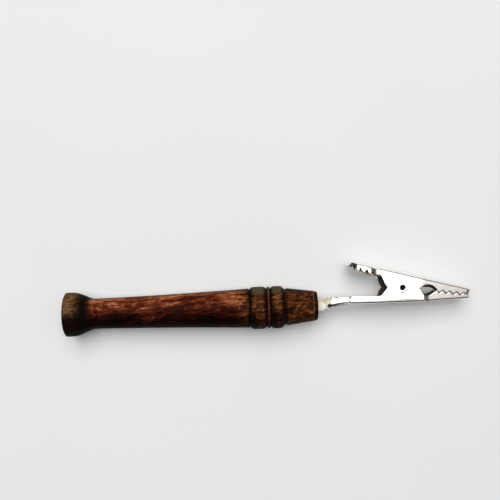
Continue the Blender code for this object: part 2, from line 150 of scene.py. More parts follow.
# Relief of the wood's surface: (features per millimetre along the grain, and across it, shift)
PORE_GRAIN = (0.22, 1.9, 0)
RIDGE_GRAIN = (0.1, 0.9, 9)
WAVE_GRAIN = (0.05, 0.12, 30)
PORE_LEVELS = (0.18, 0.5)
PORE_DEPTH = 0.055 * MM
RIDGE_HEIGHT = 0.02 * MM
WAVE_HEIGHT = 0.03 * MM
RELIEF_INSET = 0.03 * MM
RELIEF_FADE = mm(0.5, 2)  # towards the axis, where the rings close up

# Steel stem
STEM_RADIUS = 1.2 * MM
TANG_HALF_HEIGHT = 0.6 * MM
TANG_RISE = 1.65 * MM
JOGGLE = (HANDLE_LENGTH + 1 * MM, HANDLE_LENGTH + 5 * MM)
STEM_SIDES = 32
STEM_EDGE = 0.12 * MM
STEM_EDGE_LENGTH = 0.15 * MM
JOGGLE_STEPS = 24

# Glue round the stem
# hollow between the glue and the tail's underside: it sinks in and gets painted shade with burnt flux
GLUE_HOLLOW = (TAIL_START + 0.5 * MM, -0.25 * MM)
GLUE_HOLLOW_REACH = mm(1.15, 0.8)
GLUE_HOLLOW_FRONT = mm(-0.4, 0.8)  # along Z: the painted shade and flux lie on the +Z side
GLUE_HOLLOW_STRENGTH = 1.3
GLUE_HOLLOW_LEAST = 0.1
RAGGED_GRAIN = (1.9, 0.8)  # features per millimetre in the outline of the painted shade and flux, along X and Y, and along Z
RAGGED = 0.4
GLUE_START = HANDLE_LENGTH + 0.02 * MM
GLUE_END = TAIL_START + 1.5 * MM
GLUE_RADII = mm(2.1, 1.9)
GLUE_FILLET = 0.35 * MM
GLUE_FILLET_LENGTH = 0.12
GLUE_LUMPS = ((0.9, 1.6, 4, 0.32 * MM), (2.6, 4, 9, 0.09 * MM))  # (along, around, shift, height)
GLUE_LOBE_LENGTH = 1.4 * MM
GLUE_LOBE_HEIGHT = 0.55 * MM
GLUE_LOBE_TUCK = 0.3  # share of the lobe that is lost where the glue is at full width
GLUE_RISE = mm(0.1, 1.2)
GLUE_RISING = 0.30
GLUE_CLOSING = 0.70
GLUE_LEAST = 0.02  # what is left of its squared radius at the closed end
GLUE_SINK = 0.22  # how far places with painted shade and flux draw back towards the middle
GLUE_RINGS = 56
GLUE_SIDES = 80

# Folded sheet steel of both jaws
SHEET = 0.45 * MM
BURR = 0.07 * MM  # radius of the rounding along every cut edge
RIM_ANGLES = (0.35, 0.8, 1.25, math.pi / 2)
END_ANGLES = (math.pi / 2, 0.9, 0.4)
BEND_RADIUS = 0.65 * MM
SHALLOW_BEND = 0.8  # where a wall is shallow, the bend takes this much of its depth
LEAST_BEND = 0.02 * MM
WALL_STEPS = 5
BEND_STEPS = 8
BACK_STEPS = 8
INNER_HALF_WIDTH = EAR_HALF_WIDTH - 0.8 * MM
TIP_HALF_WIDTH = 2.3 * MM
TAIL_HALF_WIDTH = 2.8 * MM
TIP_SLANT = 0.39  # the jaws' ends lean this far along X for each unit of height
LIP_TURN = 0.45 * MM  # how far the walls turn in towards the tip
LIP_PLACE = (TIP - 0.9 * MM, TIP + 0.2 * MM)
# stretches along X over which painted shade on each jaw's inner skin grows to full strength
LOWER_INNER_SHADE_SPAN = (PIVOT.x - 20 * MM, PIVOT.x - 6 * MM)
UPPER_INNER_SHADE_SPAN = (PAD_END - 2 * MM, PAD_END - 1 * MM)
RIVET_HOLE_RADIUS = 1.45 * MM
RIVET_HOLE_SIDES = 64
RIM_SHADE = 0.4  # share of painted shade on the cut edges
SKIN_SHADE = 0.35  # and the least painted shade on the inner skin

# Tooth line: a ray from the pivot along which both jaws' teeth lie
TOOTH_ANGLE = math.radians(-8.23)
TOOTH_START = 11.6 * MM
TOOTH_PITCH = 2.45 * MM
TOOTH_HEIGHT = 1.05 * MM
TOOTH_GAP = 0.36 * MM
TOOTH_COUNT = 5
TOOTH_RUN_OUT = 0.55  # part of half a pitch left between the last tooth's point and the tip
TOOTH_ROUND = 0.16 * MM
TOOTH_STEP = 0.22 * MM
EYE_START = 6.1 * MM
EYE_END = 12.0 * MM

# One side of the eye between the pivot and the teeth: how far it bulges, how far its corners stand off
# the tooth line, and the skew and power of its sine curve
EyeSide = namedtuple("EyeSide", "bulge base skew power")
LOWER_EYE = EyeSide(-2.05 * MM, 0.05 * MM, 0.75, 1.3)
UPPER_EYE = EyeSide(1.7 * MM, 0.3 * MM, 1.0, 0.65)
EYE_STEPS = 33
EAR_STEPS = 22
EAR_STEP = 0.3 * MM
LOWER_REAR_STEP = 0.45 * MM
UPPER_REAR_STEP = 0.4 * MM
NOTCH_ROUND = 0.5 * MM

# Ears and notch, as offsets from the pivot
LOWER_EAR_RADIUS = 2.6 * MM
UPPER_EAR_RADIUS = 2.3 * MM
LOWER_NOTCH = (mm(-7.24, -2.59), mm(-6.03, -1.07), mm(-4.96, 0.19), mm(-4.58, 0.63))
UPPER_NOTCH = (mm(-7.13, 4.48), mm(-6.57, 3.61), mm(-6.08, 2.43), mm(-5.77, 1.51), mm(-4.96, 0.19))

# Backs of the two jaws
LOWER_BACK = 0.32 * MM
LOWER_BACK_RISE = 0.5 * MM
TAIL_TOP = LOWER_BACK + 2.46 * MM
CRIMP_HALF_WIDTH = 2.72 * MM
CRIMP_HEIGHT = 2.66 * MM
CRIMP_CUT = 1.2 * MM  # how far the upper corner of the tail's end is cut back
CRIMP_CUT_LENGTH = 2 * CRIMP_CUT  # stretch over which the sections lean along that cut
CRIMP_FLARE = 0.8 * MM  # how far the crimp's back sinks towards the tail's end
CRIMP_SQUARENESS = 4.5  # 2 is an oval, more is closer to a rectangle
UNROLLING = (TAIL_START + 6.8 * MM, TAIL_START + 7.7 * MM)
TAIL_STRAIGHT = UNROLLING[1] + 0.3 * MM
CRIMP_SEAM = 0.3 * MM  # left open where the two rolled walls meet
CRIMP_STEPS = 72
CUT_STEPS = 9
CRIMP_STRAIGHT_START = TAIL_START + 3 * MM
CRIMP_STRAIGHT_STEPS = 6
UNROLLING_STEPS = 22
TAPER_START = PIVOT.x + 7.0 * MM
JOG_END = PIVOT.x + 8.5 * MM
UPPER_BACK_TIP = 4.05 * MM
UPPER_SLOPE = 0.2615
LEANING_LENGTH = 5 * MM  # stretch over which the sections come to lean like the slanted tip
LEANING_PASSES = 4  # rounds in which a leaning section finds its point on the sloping back

# Painted shade on the tail's crimp: a band along its lower bends that narrows towards the channel
CRIMP_SHADE_BAND = 0.5 * MM
CRIMP_SHADE_NARROWING = 0.45
CRIMP_SHADE_CORNER = 0.7 * MM
CRIMP_SHADE_CORNER_PLACE = (TAIL_START + 0.2 * MM, TAIL_START + 1.2 * MM)
CRIMP_SHADE_EDGE = 0.2 * MM
CRIMP_SHADE_SIDE = mm(1.3, 2.3)
CRIMP_SHADE_FADING = (UNROLLING[0] - 0.9 * MM, UNROLLING[0])

# Thumb pad
PAD_CORNER = PAD_END + 2 * MM
PAD_DEPTH = 2.15 * MM
PAD_LIP_DEPTH = 1.35 * MM
PAD_WAIST = (PAD_END + 7.4 * MM, PAD_END + 9.9 * MM)
PAD_GAP_PLACE = PAD_CORNER + 0.2 * MM
PAD_GAP_REACH = 0.85 * MM
PAD_GAP_SHARPNESS = 4
PAD_LEAST_DEPTH = 0.45 * MM
PAD_LIP_RISE = 0.9 * MM  # length over which the curled end's sides reach their full depth
PAD_CURL = math.radians(40)
PAD_ROLL = 1.65 * MM
PAD_DROP = 1.55 * MM
PAD_END_STEPS = 20
PAD_END_CROWDING = 1.6  # above 1 the sections crowd towards the curled end
RIB_PITCH = 2.15 * MM
RIB_COUNT = 4
RIB_STEPS = 18
RIB_HEIGHT = 0.2 * MM
SCALLOP_DEPTH = 1.15 * MM
SCALLOP_POWER = 6
SCALLOP_START = 0.5  # in ribs from the pad's corner
PAD_LIP_BLEND = 0.3  # in ribs on each side of the pad's corner
# painted shade on the sides of the pad's curled end and above the gap behind it
PAD_SHADE = 0.8
PAD_SHADE_START = (PAD_END + 0.7 * MM, PAD_END + 1.2 * MM)
PAD_SHADE_END = (PAD_GAP_PLACE + PAD_GAP_REACH - 0.2 * MM, PAD_GAP_PLACE + PAD_GAP_REACH + 0.2 * MM)
PAD_SHADE_SIDE = mm(2.6, 3.6)

# Rivet and spring
RIVET_BARREL_RADIUS = 1.25 * MM
RIVET_BORE_RADIUS = 0.92 * MM
RIVET_HEAD_RADIUS = 1.85 * MM
RIVET_HEAD_HEIGHT = 0.03 * MM
RIVET_SEAT = EAR_HALF_WIDTH + 0.005 * MM
RIVET_LIP = 0.14 * MM
RIVET_BACK = 0.1 * MM
RIVET_MOUTH = 0.4 * MM
RIVET_EDGE = 0.01 * MM
RIVET_DOME_POWER = 3
RIVET_DOME_STEPS = 14
RIVET_LIP_STEPS = 7
RIVET_SEAM = 0.0001 * MM  # points of the closing ring that are nearer than this are one
# radius within which the bore's inner wall gets painted shade
RIVET_SHADE_RADIUS = RIVET_BORE_RADIUS + 0.05 * MM
RIVET_SIDES = 72
WIRE_RADIUS = 0.375 * MM
COIL_RADIUS = 1.95 * MM
COIL_HALF_LENGTH = 2.2 * MM
COIL_TURNS = 3
COIL_STEPS = 170
WIRE_SIDES = 18
WIRE_BEND = 0.6 * MM
WIRE_LEG_STEPS = mm(0.5, 0.4)
WIRE_END = 0.82  # radius of the rounded wire end, as a share of the wire's
WIRE_END_PLACE = 0.15  # share of the path's last step over which the end is rounded
COIL_ANGLES = (math.radians(-80.2), math.radians(71.4))
TAIL_LEG = (mm(-12.28, -3.91), mm(-10.48, -3.87))
PAD_LEG = (mm(-7.48, 4.58), mm(-10.48, 4.93), mm(-11.68, 5.14), mm(-12.38, 5.45), mm(-14.98, 7.23))

# Uneven stamping: how far the free edge of each jaw's wall on the -Z side stands off its twin, with the
# two stretches over which that sets in and dies away, as distances from the pivot along X
TAIL_UNEVEN = (0.0, -0.45 * MM)
LOWER_NOTCH_REAR = (LOWER_NOTCH[0][0], LOWER_NOTCH[1][0])
UPPER_NOTCH_REAR = (UPPER_NOTCH[0][0], UPPER_NOTCH[2][0])
PAD_UNEVEN_START = PAD_CORNER - PIVOT.x + 3.4 * MM
LOWER_UNEVEN = (
    (TAIL_UNEVEN, (TAIL_START - PIVOT.x, UNROLLING[0] - PIVOT.x), LOWER_NOTCH_REAR),
    ((-0.55 * MM, 0.0), LOWER_NOTCH_REAR, mm(-4.58, -2.58)),
    ((0.0, 0.5 * MM), mm(6.1, 7.3), mm(8.3, 10.8)),
)
UPPER_UNEVEN = (
    ((0.0, -0.6 * MM), (PAD_UNEVEN_START, PAD_UNEVEN_START + 1.6 * MM), UPPER_NOTCH_REAR),
    (mm(-0.75, -0.45), UPPER_NOTCH_REAR, mm(-4.96, -2.96)),
    (mm(-0.25, -1.15), mm(5.5, 6.9), mm(9.6, 12.3)),
)

# One cross-section of a folded jaw: a point on the back, a point on the free edge, the outer half
# width, how far the walls are rolled shut over the stem, from 0 (a channel) to 1 (a closed crimp),
# and how far the free edge on the -Z side stands off its twin
Section = namedtuple("Section", "back edge half_width rolled uneven", defaults=(0.0, (0.0, 0.0)))


# ---- small helpers ----


def mix(low, high, share):
    return low + (high - low) * share


def ease(low, high, value):
    """0 up to low, 1 from high on, and a smooth step between them."""
    share = min(max((value - low) / (high - low), 0.0), 1.0)
    return share * share * (3 - 2 * share)


def spread(low, high, count):
    """count values from low to high, both included."""
    return [mix(low, high, i / (count - 1)) for i in range(count)]


def refined(points, step):
    """The polyline with points added so that none are further apart than step."""
    out = []
    for first, second in zip(points, points[1:]):
        first, second = Vector(first), Vector(second)
        count = max(math.ceil((second - first).length / step), 1)
        out += [first.lerp(second, i / count) for i in range(count)]
    return out + [Vector(points[-1])]


CORNER_STEPS = 4
CORNER_SHARE = 1 / 2.2  # the part of either side that a rounded corner may take up


def rounded(points, radius):
    """The polyline with each inner corner replaced by a short curve."""
    points = [Vector(point) for point in points]
    out = [points[0]]
    for before, corner, after in zip(points, points[1:], points[2:]):
        reach = min(radius, CORNER_SHARE * min((corner - before).length, (after - corner).length))
        start = corner + (before - corner).normalized() * reach
        end = corner + (after - corner).normalized() * reach
        for share in spread(0, 1, CORNER_STEPS + 1):
            out.append(start.lerp(corner, share).lerp(corner.lerp(end, share), share))
    return out + [points[-1]]


def circle(count):
    """(cosine, sine) at count even steps round a circle."""
    return [(math.cos(math.tau * i / count), math.sin(math.tau * i / count)) for i in range(count)]


def new_mesh(name, bm):
    mesh = bpy.data.meshes.new(name)
    bm.to_mesh(mesh)
    bm.free()
    return mesh


def new_object(name, data):
    """An object that shows the data, in the scene."""
    obj = bpy.data.objects.new(name, data)
    bpy.context.scene.collection.objects.link(obj)
    return obj


def add_piece(name, bm, finish, body, stands_for, smooth_angle=35):
    """Makes the mesh an object that rides on a body in place of its CAD node."""
    bmesh.ops.recalc_face_normals(bm, faces=bm.faces)
    mesh = new_mesh(name, bm)
    mesh.shade_smooth()
    mesh.set_sharp_from_angle(angle=math.radians(smooth_angle))
    mesh.materials.append(finish)
    obj = new_object(name, mesh)
    if body:
        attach(obj, body)
    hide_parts(stands_for)
    return obj


def skinned(bm, loops):
    """Adds quads between neighbouring closed loops of vertices."""
    for first, second in zip(loops, loops[1:]):
        for i in range(len(first)):
            j = (i + 1) % len(first)
            bm.faces.new((first[i], first[j], second[j], second[i]))


def lofted(rings, closed_ends=True):
    """A mesh over rings of points, with the end rings filled if closed_ends."""
    bm = bmesh.new()
    made = [[bm.verts.new(point) for point in ring] for ring in rings]
    skinned(bm, made)
    if closed_ends:
        bm.faces.new(made[0])
        bm.faces.new(made[-1])
    return bm


def painted(bm, layer_name, shares):
    """Stores one share for each vertex, in the order in which the vertices were made."""
    layer = bm.verts.layers.float.new(layer_name)
    for vert, share in zip(bm.verts, shares):
        vert[layer] = share


# ---- materials ----

# Noise in the wood: features per metre along the grain and across it, and the grain's turn in degrees
GRAIN_WAVES = (110, 190)
GRAIN_WAVER = 4.2 * MM
FIGURE = (60, 360)
FIGURE_TURN = (0, 0, -6)
FLECKS = (260, 1350)
FLECKS_TURN = (0, 9, -12)
PORES = (330, 3600)
HEART = (26, 120)

# Palettes: (noise level, linear colour)
RED_WOOD = (
    (0.32, (0.004, 0.0012, 0.0008)),
    (0.41, (0.024, 0.0034, 0.0017)),
    (0.49, (0.082, 0.0115, 0.0038)),
    (0.56, (0.19, 0.046, 0.015)),
    (0.67, (0.52, 0.20, 0.092)),
)
OLIVE_WOOD = (
    (0.38, (0.007, 0.0024, 0.0012)),
    (0.48, (0.035, 0.0094, 0.0029)),
    (0.56, (0.093, 0.026, 0.0070)),
    (0.68, (0.27, 0.095, 0.030)),
)
CREAM = (
    (0.36, (0.60, 0.53, 0.38)),
    (0.47, (0.86, 0.80, 0.64)),
    (0.58, (0.96, 0.95, 0.86)),
)

# Linear colours
# the knob's painted shade and its painted highlight
KNOB_SHADE_BLACK = (0.007, 0.003, 0.002)
KNOB_LIT_OLIVE = ((0.040, 0.017, 0.007), (0.22, 0.112, 0.048))
# painted shade on the plate
SHADED_PLATE = ((0.028, 0.024, 0.022), (0.075, 0.066, 0.06))
GLUE_DIRT = (0.16, 0.10, 0.06)
# painted shade with burnt flux in the glue's hollow
GLUE_FLUX_AND_SHADE = (0.012, 0.009, 0.008)
WIRE_COLOURS = ((0.34, 0.25, 0.17), (0.62, 0.55, 0.46))
STEM_COLOURS = ((0.38, 0.37, 0.34), (0.66, 0.65, 0.62))
BOARD_COLOURS = ((0.80, 0.81, 0.80), (0.82, 0.83, 0.82))


class Shading:
    """A material's node tree, with one short call for each kind of node."""

    def __init__(self, name, roughness, metallic=0.0, **constants):
        self.material = bpy.data.materials.new(name)
        self.material.use_nodes = True
        self.tree = self.material.node_tree
        self.shader = self.tree.nodes["Principled BSDF"]
        self.set(Roughness=roughness, Metallic=metallic, **constants)
        self.place = self.node("ShaderNodeTexCoord").outputs["Object"]

    def set(self, **sockets):
        for socket, value in sockets.items():
            self.feed(self.shader.inputs[socket.replace("_", " ")], value)

    def finish(self, colour, roughness, normal):
        self.set(Base_Color=colour, Roughness=roughness, Normal=normal)
        return self.material

    def node(self, kind, settings=None, **links):
        made = self.tree.nodes.new(kind)
        for key, value in (settings or {}).items():
            setattr(made, key, value)
        for socket, value in links.items():
            self.feed(made.inputs[socket.replace("_", " ")], value)
        return made

    def feed(self, socket, value):
        if isinstance(value, bpy.types.NodeSocket):
            self.tree.links.new(value, socket)
        else:
            socket.default_value = value

    def noise(self, along, across, detail, rough=0.55, shift=(0, 0, 0), base=None, turn=None):
        """Noise by its features per metre along X and across it, in the object's coordinates or in base,
        once they have been turned."""
        place = base or self.place
        if turn:
            angles = [math.radians(angle) for angle in turn]
            turned = self.node("ShaderNodeVectorRotate", {"rotation_type": "EULER_XYZ"}, Vector=place)
            turned.inputs["Rotation"].default_value = angles
            place = turned.outputs["Vector"]
        scale = (along, across, across)
        place = self.node("ShaderNodeMapping", Vector=place, Scale=scale, Location=shift).outputs["Vector"]
        made = self.node("ShaderNodeTexNoise", Vector=place, Scale=1.0, Detail=detail, Roughness=rough)
        return made.outputs["Fac"]

    def math(self, operation, first, second):
        made = self.node("ShaderNodeMath", {"operation": operation})
        self.feed(made.inputs[0], first)
        self.feed(made.inputs[1], second)
        return made.outputs[0]

    def product(self, first, second):
        return self.math("MULTIPLY", first, second)

    def total(self, first, second):
        return self.math("ADD", first, second)

    def larger(self, first, second):
        return self.math("MAXIMUM", first, second)

    def weighted(self, first, first_weight, second, second_weight):
        return self.total(self.product(first, first_weight), self.product(second, second_weight))

    def ramp(self, value, low, high, out_low=0.0, out_high=1.0):
        """value moved from low..high to out_low..out_high along a smooth step."""
        ends = {"From_Min": low, "From_Max": high, "To_Min": out_low, "To_Max": out_high}
        made = self.node("ShaderNodeMapRange", {"interpolation_type": "SMOOTHSTEP"}, Value=value, **ends)
        return made.outputs["Result"]

    def colours(self, value, stops):
        made = self.node("ShaderNodeValToRGB", Fac=value)
        elements = made.color_ramp.elements
        while len(elements) < len(stops):
            elements.new(0.5)
        for element, (position, colour) in zip(elements, stops):
            element.position = position
            element.color = (*colour, 1)
        return made.outputs["Color"]

    def blend(self, share, first, second):
        made = self.node("ShaderNodeMix", {"data_type": "RGBA"})
        self.feed(made.inputs["Factor"], share)
        for socket, colour in ((made.inputs[6], first), (made.inputs[7], second)):
            self.feed(socket, colour if isinstance(colour, bpy.types.NodeSocket) else (*colour, 1))
        return made.outputs[2]

    def window(self, value, start, end, soft):
        """1 where the value lies between start and end, falling to 0 over soft on each side."""
        rise = self.ramp(value, start - soft, start + soft)
        return self.product(rise, self.ramp(value, end - soft, end + soft, 1.0, 0.0))

    def axis(self, letter):
        return self.node("ShaderNodeSeparateXYZ", Vector=self.place).outputs[letter]

    def attribute(self, name):
        return self.node("ShaderNodeAttribute", {"attribute_name": name}).outputs["Fac"]

    def bump(self, height, strength, distance, normal=None):
        made = self.node("ShaderNodeBump", Height=height, Strength=strength, Distance=distance)
        if normal:
            self.feed(made.inputs["Normal"], normal)
        return made.outputs["Normal"]


def wood_material():
    """Oiled dark hardwood: wavy interlocked streaks, dark open pores and darker end grain, with painted
    light and shade.
    """
    look = Shading("turned_hardwood", 0.5, Specular_IOR_Level=0.02)
    across, along = look.axis("Y"), look.axis("X")
    waver = look.product(look.total(look.noise(*GRAIN_WAVES, 3.0), -0.5), GRAIN_WAVER)
    wavy = look.node("ShaderNodeVectorMath", {"operation": "ADD"})
    look.feed(wavy.inputs[0], look.place)
    look.feed(wavy.inputs[1], look.node("ShaderNodeCombineXYZ", X=0.0, Y=waver, Z=waver).outputs[0])
    grain = wavy.outputs[0]
    figure = look.noise(*FIGURE, 4.0, 0.65, base=grain, turn=FIGURE_TURN)
    flecks = look.noise(*FLECKS, 3.0, 0.65, base=grain, turn=FLECKS_TURN)
    pores = look.noise(*PORES, 2.0, base=grain)
    heart = look.noise(*HEART, 2.0, shift=(0, 0, 0.3))

    # reddish barrel with painted shade towards its lower side and painted light towards its upper side,
    # mostly on the half facing the camera, and more olive from the beads to the nose
    tone = look.weighted(figure, 0.55, flecks, 0.45)
    lit_side = look.ramp(look.axis("Z"), -3.5 * MM, -0.5 * MM, 0.3, 1.0)
    lean = look.product(look.ramp(across, -2.8 * MM, 4.0 * MM, -0.165, 0.07), lit_side)
    tone = look.total(look.total(tone, lean), look.product(look.total(heart, -0.5), 0.22))
    front_tone = look.weighted(flecks, 0.8, figure, 0.25)
    # painted shade: the olive front darker towards its lower side
    front_tone = look.total(front_tone, look.ramp(across, -6 * MM, 2 * MM, -0.06, 0.0))
    front = look.ramp(along, BARREL_END - 4.8 * MM, BARREL_END)
    colour = look.blend(front, look.colours(tone, RED_WOOD), look.colours(front_tone, OLIVE_WOOD))

    # painted shade along the upper silhouette edges of the barrel and of the cone
    edge = look.math("SUBTRACT", across, look.product(along, 0.0287))
    edge = look.ramp(edge, 3.9 * MM, 4.9 * MM, 0.0, 0.6)
    cone = look.ramp(along, CONE_START, CONE_START + 0.3 * MM)
    cone_edge_shade = look.product(cone, look.ramp(across, 4.2 * MM, 5.6 * MM, 0.0, 0.7))

    # the knob: a painted highlight, an olive patch on its upper side, and painted shade, near black,
    # elsewhere
    knob_highlight = look.product(look.ramp(along, 6.8 * MM, 4.2 * MM), look.ramp(across, -1.2 * MM, 2.2 * MM))
    knob = look.blend(knob_highlight, KNOB_SHADE_BLACK, look.blend(look.ramp(flecks, 0.35, 0.65), *KNOB_LIT_OLIVE))

    # painted sheen on the tops of the beads, a painted reddish highlight on the ring and a thin painted
    # highlight line round the nose
    beads = look.window(along, BEADS[0][0], BEADS[1][1], 0.3 * MM)
    bead_sheen = look.product(beads, look.ramp(across, 4.4 * MM, 5.8 * MM, 0.0, 0.75))
    ring = look.window(along, RING[0] + 0.3 * MM, RING[1] - 0.3 * MM, 0.2 * MM)
    ring = look.product(ring, look.ramp(across, -5 * MM, 0.0, 0.1, 0.42))
    nose_start = HANDLE_LENGTH - NOSE_CHAMFER
    line = look.product(look.window(along, nose_start - 0.4 * MM, nose_start, 0.15 * MM), 0.2)

    # painted shade in the first groove and on the beads' lower rear corners, and darker end grain
    first_start, second_start = BEADS[0][0], BEADS[1][0]
    first = look.window(along, first_start - 0.55 * MM, first_start + 0.7 * MM, 0.25 * MM)
    first_low = look.window(along, first_start - 1.0 * MM, first_start + 2.0 * MM, 0.5 * MM)
    second_low = look.window(along, second_start - 0.3 * MM, second_start + 2.0 * MM, 0.5 * MM)
    shoulder_shade = look.product(look.larger(first_low, second_low), look.ramp(across, 1.2 * MM, -2.2 * MM))
    groove_shade = look.larger(look.product(shoulder_shade, 0.95), look.product(first, 0.92))

    # colours laid over in turn: all but the pores and the end grain are painted light and shade
    layers = (
        (edge, (0.026, 0.017, 0.009)),
        (cone_edge_shade, (0.016, 0.013, 0.007)),
        (look.ramp(along, 9.0 * MM, 6.6 * MM), knob),
        (look.ramp(pores, 0.52, 0.68, 0.0, 0.7), (0.006, 0.0025, 0.0015)),
        (bead_sheen, (0.085, 0.066, 0.034)),
        (ring, (0.16, 0.040, 0.038)),
        (line, (0.30, 0.17, 0.09)),
        # painted shade on the nose's rounding beyond the highlight line
        (look.ramp(along, nose_start, nose_start + 0.3 * MM, 0.0, 0.6), (0.012, 0.005, 0.003)),
        (look.larger(groove_shade, look.product(look.attribute("end_grain"), 0.85)), (0.004, 0.002, 0.0016)),
    )
    for share, over in layers:
        colour = look.blend(share, colour, over)
    roughness = look.ramp(flecks, 0.3, 0.75, 0.42, 0.62)
    normal = look.bump(look.weighted(flecks, 0.5, pores, -0.6), 0.4, 0.12 * MM)
    return look.finish(colour, roughness, normal)


def plated_material(name, colour, dark):
    """Bright plate with fine rolling lines and small specks, dull and dark with painted shade on the inner
    skin, the cut edges, the crimp's lower bends, the pad's curled end, the bore and the step beside the eye."""
    look = Shading(name, 0.2, metallic=1.0)
    patches = look.noise(220, 260, 3.0)
    lines = look.noise(260, 5200, 2.0)
    specks = look.noise(2600, 2600, 3.0)
    shade = look.weighted(patches, 0.7, lines, 0.3)
    base = look.blend(look.ramp(shade, 0.35, 0.7), dark, colour)
    base = look.blend(look.ramp(specks, 0.62, 0.72, 0.0, 0.3), base, tuple(c * 0.55 for c in dark))
    # painted shade: the step beside the eye and the shares stored on the vertices darken and dull the plate
    step = look.window(look.axis("X"), TAPER_START + 0.7 * MM, JOG_END + 0.6 * MM, 0.25 * MM)
    step = look.product(step, look.ramp(look.axis("Y"), 4.0 * MM, 3.2 * MM))
    inside = look.larger(look.ramp(look.attribute("inside"), 0.30, 0.75), look.product(step, 0.75))
    base = look.blend(inside, base, look.blend(patches, *SHADED_PLATE))
    roughness = look.total(look.ramp(shade, 0.3, 0.7, 0.27, 0.18), look.product(inside, 0.25))
    normal = look.bump(patches, 0.04, 0.1 * MM, look.bump(lines, 0.06, 0.02 * MM))
    return look.finish(base, roughness, normal)


def glue_material():
    """Cured cream glue, slightly translucent, with beige patches, and painted shade with burnt flux in its
    hollow.
    """
    scatter = {"Subsurface_Weight": 0.2, "Subsurface_Scale": 0.8 * MM}
    look = Shading("cream_glue", 0.32, Specular_IOR_Level=0.3, **scatter)
    cloud = look.noise(480, 480, 4.0)
    dirt = look.noise(1500, 1500, 3.0, shift=(0.2, 0, 0))
    shade = look.total(cloud, look.ramp(look.axis("Y"), 0.8 * MM, 2.2 * MM, 0.03, -0.10))
    colour = look.blend(look.ramp(dirt, 0.62, 0.72, 0.0, 0.55), look.colours(shade, CREAM), GLUE_DIRT)
    # painted shade with burnt flux in the hollow, and dirt
    flux_and_shade = look.total(look.attribute("flux_and_shade"), look.product(dirt, 0.4))
    colour = look.blend(look.ramp(flux_and_shade, 0.55, 0.75), colour, GLUE_FLUX_AND_SHADE)
    roughness = look.ramp(cloud, 0.3, 0.7, 0.45, 0.22)
    normal = look.bump(look.total(cloud, dirt), 0.4, 0.12 * MM)
    return look.finish(colour, roughness, normal)


def plain_material(look, fibre, cloud, spread_of_cloud, colours, roughness, bump):
    """Two colours that follow the noise cloud, and a roughness and relief that follow the noise fibre."""
    fine = look.noise(*fibre)
    colour = look.blend(look.ramp(look.noise(*cloud), *spread_of_cloud), *colours)
    return look.finish(colour, look.ramp(fine, 0.3, 0.7, *roughness), look.bump(fine, *bump))


def wire_material():
    """Drawn spring wire, brownish and a little duller than the plate."""
    look = Shading("drawn_spring_wire", 0.3, metallic=1.0)
    fibre, cloud = (2400, 2400, 3.0), (500, 500, 2.0)
    return plain_material(look, fibre, cloud, (0.35, 0.65), WIRE_COLOURS, (0.24, 0.42), (0.2, 0.03 * MM))


def stem_material():
    """Drawn rod, dull, with glue haze."""
    look = Shading("drawn_rod", 0.38, metallic=1.0)
    lines = (200, 3000, 3.0)
    return plain_material(look, lines, lines, (0.3, 0.7), STEM_COLOURS, (0.45, 0.3), (0.3, 0.03 * MM))


def floor_material():
    """Smooth white board with a very faint unevenness."""
    look = Shading("white_board", 0.6, Specular_IOR_Level=0.2)
    fibre, cloud = (900, 900, 2.0), (6, 6, 3.0)
    return plain_material(look, fibre, cloud, (0.3, 0.7), BOARD_COLOURS, (0.55, 0.7), (0.05, 0.02 * MM))


# ---- handle ----


def bead(start, end, radius, root, count):
    """A turned bead: a nearly flat top with rounded shoulders, from one groove to the next."""
    points = []
    for angle in spread(0, math.pi, count):
        share = (1 - math.cos(angle)) / 2
        height = math.sqrt(1 - abs(2 * share - 1) ** BEAD_FLATNESS)
        points.append(Vector((mix(start, end, share), mix(root, radius, height))))
    return points


def handle_outline():
    """(distance, radius) along the outside, from the butt face to the bore's mouth."""
    outline = [Vector((0, radius)) for radius in spread(FACE_CENTRE, KNOB_RADIUS - RIM_RADIUS, FACE_STEPS)]
    for angle in spread(0, math.pi / 2, RIM_STEPS)[1:]:
        radius = KNOB_RADIUS - RIM_RADIUS * (1 - math.sin(angle))
        outline.append(Vector((RIM_RADIUS * (1 - math.cos(angle)), radius)))
    for share in spread(0, 1, FLANK_STEPS)[1:]:
        fall = (1 + math.cos(math.pi * share**FLANK_SKEW)) / 2
        outline.append(Vector((mix(FLANK_START, KNOB_END, share), mix(NECK_RADIUS, KNOB_RADIUS, fall))))
    for share in spread(0, 1, BARREL_STEPS)[1:]:
        radius = mix(NECK_RADIUS, BARREL_RADIUS, share**BARREL_SWELL)
        outline.append(Vector((mix(KNOB_END, BARREL_END, share), radius)))
    outline += bead(*BEADS[0], BEAD_RADIUS, GROOVE_RADIUS, BEAD_STEPS[0])
    outline += bead(*RING, RING_RADIUS, GROOVE_RADIUS, RING_STEPS)[2:-2]
    outline += bead(*BEADS[1], BEAD_RADIUS, GROOVE_RADIUS, BEAD_STEPS[1])[:-1]
    cone = [*CONE_GROOVE, (CONE_START, CONE_RADIUS)]
    cone += [(HANDLE_LENGTH - back, NOSE_RADIUS - drawn_in) for back, drawn_in in NOSE_ROUNDING]
    outline += refined(rounded(cone, TURNING_ROUND), TURNING_STEP)
    mouth = spread(NOSE_FACE_RADIUS, BORE_RADIUS, MOUTH_STEPS)
    return outline + [Vector((HANDLE_LENGTH, radius)) for radius in mouth]


def end_grain_shares(outline):
    """How much each ring of the outline cuts across the grain, from 0 to 1."""
    shares = []
    for before, after in zip([outline[0], *outline], [*outline[1:], outline[-1]]):
        shares.append(ease(*END_GRAIN_SLOPES, abs((after - before).normalized().y)))
    smoothed = []
    for i in range(len(shares)):
        near = shares[max(i - END_GRAIN_BLUR, 0) : i + END_GRAIN_BLUR + 1]
        smoothed.append(sum(near) / len(near))
    return smoothed


def wood_noise(point, grain):
    along, across, shift = grain
    x, y, z = point / MM
    return noise.noise((x * along + shift, y * across, z * across))


